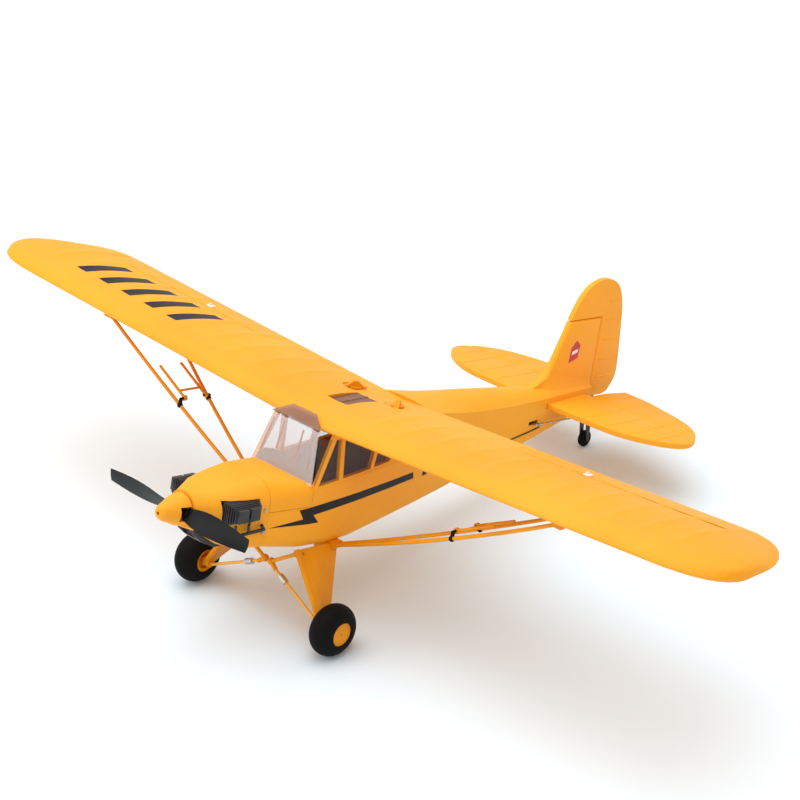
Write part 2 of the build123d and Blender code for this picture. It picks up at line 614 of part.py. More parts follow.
# ---- roof glazing -------------------------------------------------------------------------
skylight = box(-9.2, 9.2, 31.6, 59.7, 7.4, 8.3) + box(-0.8, 0.8, 31.6, 59.7, 8.3, 8.9)
slope = Plane(origin=(0, -3.9, 0.9), x_dir=(1, 0, 0), z_dir=(0, -0.70, 0.714))
visor_outline = Polyline((-21.9, 0), (21.9, 0), (10.4, 9.8), (-10.4, 9.8), close=True)
visor = slope * extrude(make_face(visor_outline), amount=-0.8)
visor = (visor - wing_volume) + (visor & leading_edge_notch())
add("roof_windows", Compound([skylight, *visor.solids()]))

plate_blank = box(-24.5, 24.5, 62.5, 73.5, -9.0, -3.5)
add("wing_nut_plate", plate_blank - nut_holes)
for name in ("fuselage_left", "fuselage_right"):
    nodes[name] = nodes[name] - plate_blank - nut_holes

# ---- tail ---------------------------------------------------------------------------------
# the tip of the tailplane and elevator, in (x, y)
TAIL_TIP = [(60, 239.5), (90, 250.0), (108.5, 272.0), (96, 297.5), (66, 312.5), (42, 318.0), (20, 319.4)]


def tail_outline():
    """The left half of the tailplane and elevator together, as a face in plan."""
    tip = Spline(*TAIL_TIP, tangents=((1, 0.1), (-1, 0.02)))
    rest = Polyline(TAIL_TIP[-1], (0, 319.4), (0, 237.0), TAIL_TIP[0])
    outline = make_face(Wire([tip, *rest.edges()]))
    return extrude(Plane.XY.offset(STAB_Z - STAB_T / 2) * outline, amount=STAB_T)


tail_half = tail_outline()
tail_plate = tail_half + mirrored(tail_half)
add("stabiliser", tail_plate & box(-120, 120, 200, ELEVATOR_Y - 2.4, -30, 0))

round_nose = disc_x(12.2, 120, ELEVATOR_Y, STAB_Z, STAB_T / 2) & box(0, 120, 280, 288, -30, 0)
elevator_half = tail_half & (box(12.2, 120, ELEVATOR_Y, 330, -30, 0) + round_nose)
elevator_half -= plan_prism([(12, 300), (12.2, 320), (16.2, 320)], -30, 0)
joiner = disc_x(-16.0, 16.0, ELEVATOR_Y, STAB_Z, 1.0)
elevator_half -= joiner
add("elevators", both_sides(elevator_half))

hole_z = STAB_Z - ELEVATOR_ARM
horn_outline = [(ELEVATOR_Y + 1.0, STAB_Z - 2.0), (ELEVATOR_Y + 7.0, STAB_Z - 2.0),
                (ELEVATOR_Y + 1.8, hole_z - 1.6), (ELEVATOR_Y - 1.6, hole_z - 1.6),
                (ELEVATOR_Y - 1.6, hole_z + 1.6)]
horn = side_prism(horn_outline, 13.0, 14.2) - disc_x(10, 18, ELEVATOR_Y, hole_z, 0.6)
add("elevator_joiner", Compound([joiner, horn]))

elevator_arm = disc_x(9.1, 10.5, TAIL_SERVO_Y, STAB_Z, 2.4) + disc_x(9.4, 10.4, TAIL_SERVO_Y, hole_z, 1.7)
elevator_arm += box(9.4, 10.4, TAIL_SERVO_Y - 1.3, TAIL_SERVO_Y + 1.3, hole_z, STAB_Z)
add("elevator_arm", elevator_arm - disc_x(8, 12, TAIL_SERVO_Y, hole_z, 0.6))
elevator_rod = pushrod((15.2, TAIL_SERVO_Y, hole_z), (15.2, ELEVATOR_Y, hole_z), (-1, 0, 0), 5.7, 2.4)
add("elevator_pushrod", elevator_rod + disc_y(TAIL_SERVO_Y + 2.0, TAIL_SERVO_Y + 7.0, 15.2, hole_z, 1.3))


# the rudder's free edge, from the foot of its balance area round to its heel, in (y, z)
RUDDER_EDGE = [(258.5, FIN_TOP + 0.6), (263.6, 51.0), (271.2, 61.4), (282.5, 67.4), (295.0, 68.2),
               (305.6, 63.6), (312.6, 53.4), (316.8, 38.0), (320.0, 18.0), (322.4, 0.0), (321.2, -10.0),
               (316.4, -17.0), (308.5, -20.2)]


def rudder_face():
    """Side view of the rudder, with its balance area over the fin."""
    free_edge = Spline(*RUDDER_EDGE, tangents=((0.42, 1), (-1, -0.15)))
    rest = Polyline(RUDDER_EDGE[-1], (RUDDER_Y, -20.2), (RUDDER_Y, FIN_TOP + 0.6), RUDDER_EDGE[0])
    return Plane.YZ.offset(-RUDDER_T / 2) * make_face(Wire([free_edge, *rest.edges()]))


rudder = extrude(rudder_face(), amount=RUDDER_T)
nose_piece = disc_z(-20.2, FIN_TOP + 0.6, 0, RUDDER_Y, RUDDER_T / 2)
rudder = rudder + nose_piece
add("rudder", rudder)

AXLE_Z = (GROUND_OFFSET + TAILWHEEL_R + 0.22920 * TAILWHEEL_Y) / 0.97338
bracket = box(-1.6, 1.6, 293.6, 302.0, -32.0, -20.2)
bracket += box(-RUDDER_ARM - 2.0, 1.6, 293.4, 296.6, -30.8, -29.4)
bracket -= disc_z(-34, -26, -RUDDER_ARM, RUDDER_Y, 0.6)
bracket += box(-3.4, 3.4, 294.0, 302.0, -33.8, -32.0)
fork_side = [(296.0, -32.2), (301.0, -32.2), (TAILWHEEL_Y + 1.4, AXLE_Z - 1.4), (TAILWHEEL_Y - 1.4, AXLE_Z - 1.4)]
bracket += side_prism(fork_side, 2.4, 3.4) + side_prism(fork_side, -3.4, -2.4)
bracket += disc_x(-3.4, 3.4, TAILWHEEL_Y, AXLE_Z, 0.7)
add("tail_bracket", bracket)
tailwheel = disc_x(-1.9, 1.9, TAILWHEEL_Y, AXLE_Z, TAILWHEEL_R)
tailwheel = fillet(tailwheel.edges().filter_by(GeomType.CIRCLE), 1.2)
add("tailwheel", tailwheel - disc_x(-5, 5, TAILWHEEL_Y, AXLE_Z, 0.7 + RUNNING))

rudder_arm = Pos(RUDDER_SERVO_X, RUDDER_SERVO_Y, -24.4) * servo_arm(RUDDER_ARM)
add("rudder_arm", rudder_arm)
rudder_arm_tip = (RUDDER_SERVO_X - RUDDER_ARM, RUDDER_SERVO_Y, -21.8)
add("rudder_pushrod", pushrod(rudder_arm_tip, (-RUDDER_ARM, RUDDER_Y, -28.6), (0, 0, -1), 2.0, 2.4))

# ---- undercarriage ------------------------------------------------------------------------
LEG_PLANE = Plane(origin=(27.5, 0, -75.4), x_dir=(0, 1, 0), z_dir=(0.841, 0, 0.541))
AXLE_DOWN = 48.6              # from the leg's top edge down its slope to the axle
axle_bore = disc_x(40, 60, WHEEL_Y, WHEEL_Z, AXLE_R + RUNNING)


def gear_leg():
    """One swept sheet leg with a tubular leading edge, an axle boss and a tang into the hull."""
    outline = Polyline((-14.2, 0), (21.5, 0), (1.8, -38.8), (-4.6, -AXLE_DOWN - 2),
                       (-12.6, -AXLE_DOWN - 2), close=True)
    plate = LEG_PLANE * Pos(0, 0, -1.1) * extrude(make_face(outline), amount=2.2)
    top, foot = [LEG_PLANE.from_local_coords(spot) for spot in ((-14.2, 0.5, 0), (-10.6, -AXLE_DOWN, 0))]
    tube = rod(tuple(top), tuple(foot), 1.7)
    boss = disc_x(50.6, 55.2, WHEEL_Y, WHEEL_Z, 3.2)
    leg = plate + tube + boss + (leg_tang & box(0, 40, 0, 40, -79.0, -60))
    leg -= LEG_PLANE * Pos(-10.4, -3.2, 0) * Cylinder(1.1, 8)
    leg -= axle_bore
    return leg - hull


left_leg = max(gear_leg().solids(), key=lambda s: s.volume)
left_leg = left_leg + (leg_tang & hull)
left_leg -= axle_bore
add("gear_legs", both_sides(left_leg))

KNOB, CABANE_TOP = (3.1, -9.3, -93.4), (27.0, -13.9, -78.4)


def cabane_half():
    """Strut from the leg's top front corner to a knob at the centre."""
    strut = rod(CABANE_TOP, KNOB, 1.25)
    slope = Vector(*KNOB) - Vector(*CABANE_TOP)
    for spot, radius in ((KNOB, 2.6), (CABANE_TOP, 1.9)):
        strut += Plane(origin=spot, z_dir=slope) * Sphere(radius)
    strut += rod(KNOB, (8.0, -9.6, -97.4), 1.5)
    return strut - left_leg


add("cabane", both_sides(max(cabane_half().solids(), key=lambda s: s.volume)))


WIRE_START, WIRE_BEND = Vector(7.6, -9.55, -96.9), Vector(48.4, WHEEL_Y, WHEEL_Z)


def shock_strut():
    """Bent wire from the cabane to the wheel, turned outwards as the axle."""
    route = FilletPolyline(WIRE_START, WIRE_BEND, (70.2, WHEEL_Y, WHEEL_Z), radius=3.0)
    section = Plane(origin=route @ 0, z_dir=route % 0) * Circle(AXLE_R)
    return sweep(section, path=route) - nodes["cabane"]


def wire_point(share):
    """A point on the straight of the shock strut, as a share of its length."""
    return WIRE_START + (WIRE_BEND - WIRE_START) * share


add("shock_struts", both_sides(max(shock_strut().solids(), key=lambda s: s.volume)))
clamp = rod(tuple(wire_point(0.13)), tuple(wire_point(0.27)), 2.1) - nodes["shock_struts"]
add("strut_clamps", both_sides(max(clamp.solids(), key=lambda s: s.volume)))


def tyre():
    """A fat foam tyre, bored for its hub."""
    ring = Pos(WHEEL_X, WHEEL_Y, WHEEL_Z) * Rot(0, 90, 0) * Torus(TYRE_R - TYRE_TUBE_R, TYRE_TUBE_R)
    core = disc_x(WHEEL_X - 8.0, WHEEL_X + 8.0, WHEEL_Y, WHEEL_Z, 11.0)
    return ring + core - disc_x(WHEEL_X - 12, WHEEL_X + 12, WHEEL_Y, WHEEL_Z, 7.9)


def hub():
    """The wheel hub: flat outer disc, dished inner face."""
    body = disc_x(WHEEL_X - 8.0, WHEEL_X + 8.0, WHEEL_Y, WHEEL_Z, 7.9)
    body -= disc_x(WHEEL_X - 9.0, WHEEL_X - 5.0, WHEEL_Y, WHEEL_Z, 5.8)
    body += disc_x(WHEEL_X - 6.5, WHEEL_X - 4.0, WHEEL_Y, WHEEL_Z, 2.6)
    return body - disc_x(WHEEL_X - 12, 70.2 + 0.4, WHEEL_Y, WHEEL_Z, AXLE_R + RUNNING)


add("tyre_left", tyre())
add("tyre_right", mirrored(tyre()))
add("hub_left", hub())
add("hub_right", mirrored(hub()))

# ---- wing struts and jury struts ----------------------------------------------------------
STRUT_R = 1.25
FRONT_STRUT = [(31.4, 16.0, -75.8), (119.0, 15.5, -37.6), (203.0, 13.0, 5.3)]
REAR_STRUT = [(31.4, 20.6, -75.6), (114.0, 38.5, -38.2), (203.0, 60.0, 7.7)]


def strut(points):
    """A slender strut, gently bowed as the moulded plastic one hangs."""
    path = ThreePointArc(*points)
    start = path @ 0
    section = Plane(origin=start, z_dir=path % 0) * Circle(STRUT_R)
    return sweep(section, path=path)


front_strut, rear_strut = strut(FRONT_STRUT), strut(REAR_STRUT)
around = wing_volume + hull + left_leg
trimmed = [front_strut - around, rear_strut - around - front_strut]
left_struts = Compound([max(shape.solids(), key=lambda s: s.volume) for shape in trimmed])
add("wing_struts", both_sides(left_struts))


def strut_point(points, x):
    """Where a strut's centreline passes a given span station."""
    path = ThreePointArc(*points)
    low, high = 0.0, 1.0
    for _ in range(40):
        middle = (low + high) / 2
        if (path @ middle).X < x:
            low = middle
        else:
            high = middle
    return path @ low


front_at, rear_at = strut_point(FRONT_STRUT, JURY_X), strut_point(REAR_STRUT, JURY_X)
JURY_FRONT_Y, JURY_REAR_Y = front_at.Y + 3.4, rear_at.Y - 3.4


def jury_frame():
    """Two thin struts joined by a crossbar, folded back along the wing struts."""
    angle = math.radians(26.0)
    along = (math.cos(angle), 0, math.sin(angle))
    frame = None
    for y in (JURY_FRONT_Y, JURY_REAR_Y):
        foot = (JURY_X, y, JURY_Z)
        head = tuple(f + JURY_LENGTH * a for f, a in zip(foot, along))
        leg = rod(foot, head, 1.0) + disc_y(y - 1.0, y + 1.0, JURY_X, JURY_Z, 1.9)
        frame = leg if frame is None else frame + leg
    cross = [f + 7.0 * a for f, a in zip((JURY_X, 0, JURY_Z), along)]
    frame += disc_y(JURY_FRONT_Y, JURY_REAR_Y, cross[0], cross[2], 0.8)
    return frame - disc_y(0, 60, JURY_X, JURY_Z, 0.8)


add("jury_frame_left", jury_frame())
add("jury_frame_right", mirrored(jury_frame()))


def jury_pin(spot, eye_y, outward):
    """A black clip on the wing strut with the pin that the jury strut swings on."""
    clip = Pos(*spot) * Sphere(2.0) + rod(tuple(spot), (JURY_X, spot.Y, JURY_Z), 1.3)
    pin = rod((JURY_X, spot.Y, JURY_Z), (JURY_X, eye_y + 1.6 * outward, JURY_Z), 0.8 - RUNNING)
    return clip + pin


def wing_bracket(spot):
    """A small pad under the wing that the strut's end is pinned to."""
    pad = box(spot[0] - 3.6, spot[0] + 3.6, spot[1] - 2.0, spot[1] + 2.0, spot[2] - 2.2, spot[2] + 4)
    return pad - wing_volume - left_struts


pins = [jury_pin(front_at, JURY_FRONT_Y, 1), jury_pin(rear_at, JURY_REAR_Y, -1)]
pads = [wing_bracket(FRONT_STRUT[2]), wing_bracket(REAR_STRUT[2])]
root_bracket = box(26.5, 32.4, 14.2, 22.4, -77.6, -73.6) - hull - left_struts - left_leg
fittings = [*[(p - left_struts) for p in pins], *pads, root_bracket]
largest = [max(shape.solids(), key=lambda s: s.volume) for shape in fittings]
add("strut_fittings", both_sides(Compound(largest)))


# ---- stand on the ground and save ---------------------------------------------------------
def on_ground(shape):
    """Turns a shape from the level datum to the attitude in which it stands."""
    return Rot(-GROUND_ANGLE, 0, 0) * shape


def placing():
    """The move that puts the origin under the middle of the standing aeroplane."""
    boxes = [on_ground(shape).bounding_box() for shape in nodes.values()]
    x0, x1 = min(b.min.X for b in boxes), max(b.max.X for b in boxes)
    y0, y1 = min(b.min.Y for b in boxes), max(b.max.Y for b in boxes)
    return Pos(-(x0 + x1) / 2, -(y0 + y1) / 2, -min(b.min.Z for b in boxes))


def finish_and_save():
    """Writes one STEP file for each node."""
    shift = placing()
    for name, shape in nodes.items():
        export_step(shift * on_ground(shape), f"parts/{name}.step")
    print("nodes", len(nodes), "placing", tuple(shift.position))


finish_and_save()
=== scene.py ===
"""Looks of the foam monoplane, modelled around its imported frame.

Sizes and places are in flight millimetres: +X towards the left wing tip, +Y aft, +Z up, measured
from the wing's leading edge at the centreline. Datum turns them into the frame's metres.
"""

import json
import logging
import math
from dataclasses import dataclass
from enum import Enum
from typing import Callable, Iterable, Sequence

import bpy
from mathutils import Matrix, Vector


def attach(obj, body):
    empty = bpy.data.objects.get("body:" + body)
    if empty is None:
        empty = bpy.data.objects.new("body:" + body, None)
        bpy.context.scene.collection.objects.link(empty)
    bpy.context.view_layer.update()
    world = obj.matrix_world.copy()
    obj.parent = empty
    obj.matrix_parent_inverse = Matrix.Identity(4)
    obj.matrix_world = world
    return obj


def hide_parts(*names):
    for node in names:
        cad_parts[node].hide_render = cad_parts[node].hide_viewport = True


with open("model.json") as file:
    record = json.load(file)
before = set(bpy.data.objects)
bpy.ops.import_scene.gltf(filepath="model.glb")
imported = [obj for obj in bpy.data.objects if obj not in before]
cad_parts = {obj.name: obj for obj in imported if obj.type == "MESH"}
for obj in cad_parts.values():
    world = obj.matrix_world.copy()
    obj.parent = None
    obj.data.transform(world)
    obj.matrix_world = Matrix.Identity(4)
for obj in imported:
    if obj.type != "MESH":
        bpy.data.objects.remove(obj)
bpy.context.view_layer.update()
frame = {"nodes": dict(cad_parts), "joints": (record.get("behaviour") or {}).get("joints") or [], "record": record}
LOG = logging.getLogger("monoplane")
Colour = tuple[float, float, float]
Spot = tuple[float, float, float]
Place = Callable[[Vector, Vector], bool]
Socket = bpy.types.NodeSocket


class Side(Enum):
    """A side of the aeroplane, as the sign of X there."""

    LEFT = 1
    RIGHT = -1

    @property
    def word(self) -> str:
        """The side's name as it stands in node names."""
        return self.name.lower()


class Element(Enum):
    """What a selection is made of, as edit mode's three switches."""

    POINTS = (True, False, False)
    EDGES = (False, True, False)
    FACES = (False, False, True)


@dataclass(frozen=True)
class Datum:
    """Turns flight millimetres into the frame's metres."""

    nose_up: float = 13.25
    prop_centre: Spot = (0.0, -96.0, -44.5)
    dihedral: float = 3.0

    def matrix(self) -> Matrix:
        """The move from flight millimetres to the frame, hung on the propeller's joint."""
        turn = Matrix.Rotation(math.radians(-self.nose_up), 4, "X") @ Matrix.Scale(0.001, 4)
        spin = next(j for j in frame["joints"] if j["name"] == "propeller_spin")
        return Matrix.Translation(Vector(spin["pos_m"]) - turn @ Vector(self.prop_centre)) @ turn

    def wing_matrix(self, side: Side) -> Matrix:
        """The move from a flat wing panel to the frame.

        Args:
            side: which wing panel.

        Returns:
            The matrix that lifts the panel to its dihedral and places it.
        """
        lift = Matrix.Rotation(math.radians(-self.dihedral * side.value), 4, "Y")
        return self.matrix() @ lift


DATUM = Datum()


# ---- the modelling bench --------------------------------------------------------------------
class Bench:
    """Primitives, selections by place, edits and finishing, all through Blender's operators."""

    MERGE = 0.004
    FLAT_DEGREES = 0.4
    FILM = 0.05

    @staticmethod
    def clear() -> None:
        """Leaves edit mode and deselects everything."""
        if bpy.context.object and bpy.context.object.mode != "OBJECT":
            bpy.ops.object.mode_set(mode="OBJECT")
        bpy.ops.object.select_all(action="DESELECT")

    @staticmethod
    def take(piece: bpy.types.Object) -> None:
        """Makes one piece the only selected and active one."""
        Bench.clear()
        bpy.context.view_layer.objects.active = piece
        piece.select_set(True)

    @staticmethod
    def copy_node(node: str, name: str, matrix: Matrix) -> bpy.types.Object:
        """Copies a CAD node's shape to work on, with its loose triangles joined up.

        Args:
            node: the CAD node's name.
            name: the new piece's name.
            matrix: the move from the working space to the frame.

        Returns:
            The copy, in the working space.
        """
        piece = bpy.data.objects.new(name, frame["nodes"][node].data.copy())
        bpy.context.scene.collection.objects.link(piece)
        piece.data.transform(matrix.inverted())
        piece.data.materials.clear()
        Bench.take(piece)
        bpy.ops.mesh.customdata_custom_splitnormals_clear()
        bpy.ops.object.mode_set(mode="EDIT")
        bpy.ops.mesh.select_all(action="SELECT")
        bpy.ops.mesh.remove_doubles(threshold=Bench.MERGE)
        bpy.ops.mesh.dissolve_limited(angle_limit=math.radians(Bench.FLAT_DEGREES))
        bpy.ops.object.mode_set(mode="OBJECT")
        return piece

    @staticmethod
    def select(piece: bpy.types.Object, element: Element, wanted: Place) -> int:
        """Selects by place and normal, and enters edit mode.

        Args:
            piece: the piece to select on.
            element: points, edges or faces.
            wanted: tells from an element's centre and normal whether it is selected.

        Returns:
            How many elements were selected.
        """
        Bench.take(piece)
        bpy.context.tool_settings.mesh_select_mode = element.value
        mesh = piece.data
        for group in (mesh.vertices, mesh.edges, mesh.polygons):
            group.foreach_set("select", [False] * len(group))
        count = 0
        if element is Element.POINTS:
            for point in mesh.vertices:
                point.select = wanted(point.co, point.normal)
                count += point.select
        elif element is Element.FACES:
            for face in mesh.polygons:
                face.select = wanted(face.center, face.normal)
                count += face.select
        else:
            for edge in mesh.edges:
                a, b = (mesh.vertices[i] for i in edge.vertices)
                edge.select = wanted((a.co + b.co) / 2, (b.co - a.co).normalized())
                count += edge.select
        bpy.ops.object.mode_set(mode="EDIT")
        return count

    @staticmethod
    def slice(piece: bpy.types.Object, at: Vector, normal: Vector, wanted: Place) -> None:
        """Cuts the faces in a region along a plane, leaving the piece whole."""
        if Bench.select(piece, Element.FACES, wanted):
            bpy.ops.mesh.bisect(plane_co=at, plane_no=normal)
        bpy.ops.object.mode_set(mode="OBJECT")

    @staticmethod
    def modify(piece: bpy.types.Object, kind: str, **settings: object) -> None:
        """Adds a modifier with its settings and applies it."""
        Bench.take(piece)
        modifier = piece.modifiers.new(kind.lower(), kind)
        for key, value in settings.items():
            setattr(modifier, key, value)
        bpy.ops.object.modifier_apply(modifier=modifier.name)

    @staticmethod
    def bevel(piece: bpy.types.Object, width: float, segments: int = 3, angle: float = 40.0) -> None:
        """Rounds every edge that is sharper than the angle."""
        Bench.modify(piece, "BEVEL", width=width, segments=segments, limit_method="ANGLE",
                     angle_limit=math.radians(angle), use_clamp_overlap=True, miter_outer="MITER_ARC")

    @staticmethod
    def outward(piece: bpy.types.Object) -> None:
        """Points every face outwards, after joining doubled points."""
        Bench.select(piece, Element.POINTS, lambda point, normal: True)
        bpy.ops.mesh.remove_doubles(threshold=Bench.MERGE / 2)
        bpy.ops.mesh.normals_make_consistent(inside=False)
        bpy.ops.object.mode_set(mode="OBJECT")

    @staticmethod
    def smooth(piece: bpy.types.Object, angle: float = 32.0) -> None:
        """Shades the piece smooth, except across edges sharper than the angle."""
        Bench.take(piece)
        bpy.ops.object.shade_smooth_by_angle(angle=math.radians(angle))

    @staticmethod
    def rod(name: str, points: Sequence[Sequence[float]], radius: float, sides: int = 16) -> bpy.types.Object:
        """A round rod through points, with closed and slightly rounded ends.

        Args:
            name: the new piece's name.
            points: the centreline's points.
            radius: the rod's radius.
            sides: how many sides its section has.

        Returns:
            The rod.
        """
        Bench.clear()
        start, second = Vector(points[0]), Vector(points[1])
        turn = (second - start).to_track_quat("Z", "Y").to_euler()
        bpy.ops.mesh.primitive_circle_add(vertices=sides, radius=radius, fill_type="NGON",
                                          location=start, rotation=turn)
        piece = bpy.context.object
        piece.name = name
        Bench.take(piece)
        bpy.ops.object.transform_apply(location=True, rotation=True, scale=True)
        for before, at in zip(points, points[1:]):
            Bench.take(piece)
            bpy.ops.object.mode_set(mode="EDIT")
            step = Vector(at) - Vector(before)
            bpy.ops.mesh.extrude_region_move(TRANSFORM_OT_translate={"value": step})
        bpy.ops.object.mode_set(mode="OBJECT")
        Bench.outward(piece)
        Bench.bevel(piece, radius * 0.25, 2, 60.0)
        return piece

    @staticmethod
    def patch(name: str, outline: Sequence[tuple[float, float]], plane: Matrix) -> bpy.types.Object:
        """A flat sheet with a given outline.

        Args:
            name: the new piece's name.
            outline: corners in the sheet's own plane.
            plane: the matrix that carries the sheet's plane to its place.

        Returns:
            The sheet, one face.
        """
        mesh = bpy.data.meshes.new(name)
        corners = [plane @ Vector((u, v, 0.0)) for u, v in outline]
        mesh.from_pydata(corners, [], [list(range(len(corners)))])
        piece = bpy.data.objects.new(name, mesh)
        bpy.context.scene.collection.objects.link(piece)
        return piece

    @staticmethod
    def lay_on(piece: bpy.types.Object, target: bpy.types.Object, axis: str, lift: float) -> None:
        """Presses a thin sheet onto a surface and gives it a film's thickness."""
        flags = {f"use_project_{name}": name == axis for name in "xyz"}
        Bench.modify(piece, "SHRINKWRAP", target=target, wrap_method="PROJECT", offset=lift,
                     use_negative_direction=True, use_positive_direction=True, **flags)
        Bench.modify(piece, "SOLIDIFY", thickness=Bench.FILM, offset=1.0)

    @staticmethod
    def place(piece: bpy.types.Object, matrix: Matrix, body: str, slot: str, finish: "Finish",
              replaces: Iterable[str] = ()) -> bpy.types.Object:
        """Carries a finished piece into the frame, dresses it and puts it on its body.

        Args:
            piece: the finished piece, in its working space.
            matrix: the move from the working space to the frame.
            body: the body that it rides on.
            slot: the record's material slot; not used.
            finish: its finish.
            replaces: CAD nodes that it stands for.

        Returns:
            The piece.
        """
        Bench.clear()
        piece.data.transform(matrix)
        piece.data.update()
        piece.data.materials.clear()
        piece.data.materials.append(finish.material())
        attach(piece, body)
        if replaces:
            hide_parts(*replaces)
        LOG.info("piece %s on %s", piece.name, body)
        return piece


# ---- finishes -------------------------------------------------------------------------------
class Graph:
    """Adds and links the nodes of one material."""

    def __init__(self, name: str) -> None:
        """Starts a material with a Principled shader and object coordinates."""
        self.material = bpy.data.materials.new(name)
        self.material.use_nodes = True
        self.tree = self.material.node_tree
        self.shader = self.tree.nodes["Principled BSDF"]
        self.object_space = self.tree.nodes.new("ShaderNodeTexCoord").outputs["Object"]

    def node(self, kind: str, **settings: object) -> bpy.types.Node:
        """Adds a node with settings."""
        node = self.tree.nodes.new(kind)
        for key, value in settings.items():
            setattr(node, key, value)
        return node

    def link(self, source: Socket, target: Socket) -> None:
        """Links two sockets."""
        self.tree.links.new(source, target)

    def noise(self, scale: float, detail: float = 3.0, rough: float = 0.55) -> Socket:
        """Noise in object space, as a value from 0 to 1."""
        noise = self.node("ShaderNodeTexNoise")
        noise.inputs["Scale"].default_value = scale
        noise.inputs["Detail"].default_value = detail
        noise.inputs["Roughness"].default_value = rough
        self.link(self.object_space, noise.inputs["Vector"])
        return noise.outputs["Fac"]

    def cells(self, scale: float) -> Socket:
        """Distance to the nearest bead of a cell pattern."""
        cells = self.node("ShaderNodeTexVoronoi", feature="F1")
        cells.inputs["Scale"].default_value = scale
        self.link(self.object_space, cells.inputs["Vector"])
        return cells.outputs["Distance"]

    def ramp(self, source: Socket, stops: Sequence[tuple[float, Colour]]) -> Socket:
        """A colour ramp over a value."""
        ramp = self.node("ShaderNodeValToRGB")
        elements = ramp.color_ramp.elements
        while len(elements) < len(stops):
            elements.new(0.5)
        for element, (position, colour) in zip(elements, stops):
            element.position = position
            element.color = (*colour, 1.0)
        self.link(source, ramp.inputs["Fac"])
        return ramp.outputs["Color"]

    def span(self, source: Socket, low: float, high: float) -> Socket:
        """A value from 0..1 carried to low..high."""
        span = self.node("ShaderNodeMapRange")
        span.inputs["To Min"].default_value = low
        span.inputs["To Max"].default_value = high
        self.link(source, span.inputs["Value"])
        return span.outputs["Result"]

    def mix(self, share: Socket, a: Socket | Colour, b: Socket | Colour) -> Socket:
        """Mixes two colours by a share. The node's colour sockets are its last ones."""
        mix = self.node("ShaderNodeMix", data_type="RGBA")
        for socket, value in ((mix.inputs[6], a), (mix.inputs[7], b)):
            if isinstance(value, tuple):
                socket.default_value = (*value, 1.0)
            else:
                self.link(value, socket)
        self.link(share, mix.inputs[0])
        return mix.outputs[2]

    def bump(self, *layers: tuple[Socket, float]) -> None:
        """Stacks bump layers, each a height and its depth in metres."""
        normal = None
        for height, depth in layers:
            bump = self.node("ShaderNodeBump")
            bump.inputs["Strength"].default_value = 1.0
            bump.inputs["Distance"].default_value = depth
            self.link(height, bump.inputs["Height"])
            if normal is not None:
                self.link(normal, bump.inputs["Normal"])
            normal = bump.outputs["Normal"]
        self.link(normal, self.shader.inputs["Normal"])


@dataclass(frozen=True)
class Finish:
    """A finish with small variations of colour, sheen and surface."""

    name: str
    colour: Colour
    shade: Colour
    rough: tuple[float, float] = (0.4, 0.6)
    grain: float = 900.0
    grain_depth: float = 0.00004
    metal: float = 0.0
    specular: float = 0.35

    def material(self) -> bpy.types.Material:
        """The finish's material, made once."""
        known = bpy.data.materials.get(self.name)
        return known if known else self.build()

    def build(self) -> bpy.types.Material:
        """Makes the material: mottled colour, uneven sheen and a fine grain."""
        graph = Graph(self.name)
        mottle = graph.ramp(graph.noise(28.0), [(0.35, self.shade), (0.65, self.colour)])
        graph.link(mottle, graph.shader.inputs["Base Color"])
        graph.link(graph.span(graph.noise(70.0), *self.rough), graph.shader.inputs["Roughness"])
        graph.shader.inputs["Metallic"].default_value = self.metal
        graph.shader.inputs["Specular IOR Level"].default_value = self.specular
        graph.bump((graph.noise(self.grain), self.grain_depth))
        return graph.material


@dataclass(frozen=True)
class Foam(Finish):
    """Moulded bead foam, sprayed: faint beads, soft waves and a few dark specks."""

    bead: float = 520.0
    bead_depth: float = 0.00008
    wave: float = 18.0
    wave_depth: float = 0.0006
    speck: Colour = (0.25, 0.09, 0.01)

    def build(self) -> bpy.types.Material:
        """Makes the material: beads and waves in the surface, mottled colour, rare specks."""
        graph = Graph(self.name)
        mottle = graph.ramp(graph.noise(9.0, 4.0), [(0.3, self.shade), (0.62, self.colour)])
        rare = graph.ramp(graph.cells(46.0), [(0.0, (1.0,) * 3), (0.022, (0.0,) * 3)])
        patchy = graph.ramp(graph.noise(21.0, 1.0), [(0.52, (0.0,) * 3), (0.56, (1.0,) * 3)])
        both = graph.node("ShaderNodeMath", operation="MULTIPLY")
        graph.link(rare, both.inputs[0])
        graph.link(patchy, both.inputs[1])
        graph.link(graph.mix(both.outputs[0], mottle, self.speck), graph.shader.inputs["Base Color"])
        graph.link(graph.span(graph.noise(60.0), *self.rough), graph.shader.inputs["Roughness"])
        graph.shader.inputs["Specular IOR Level"].default_value = self.specular
        graph.bump((graph.noise(self.wave, 2.0), self.wave_depth), (graph.cells(self.bead), self.bead_depth),
                   (graph.noise(self.grain), self.grain_depth))
        return graph.material


@dataclass(frozen=True)
class Glazing(Finish):
    """Thin clear or smoked film."""

    clear: float = 0.8
    streaks: float = 0.04

    def build(self) -> bpy.types.Material:
        """Makes the material: a see-through sheet with a light haze."""
        graph = Graph(self.name)
        tint = graph.ramp(graph.noise(35.0), [(0.3, self.shade), (0.7, self.colour)])
        graph.link(tint, graph.shader.inputs["Base Color"])
        graph.link(graph.span(graph.noise(90.0), *self.rough), graph.shader.inputs["Roughness"])
        cover = 1.0 - self.clear
        haze = graph.span(graph.noise(45.0), cover - self.streaks, cover + self.streaks)
        graph.link(haze, graph.shader.inputs["Alpha"])
        graph.bump((graph.noise(self.grain), self.grain_depth))
        return graph.material


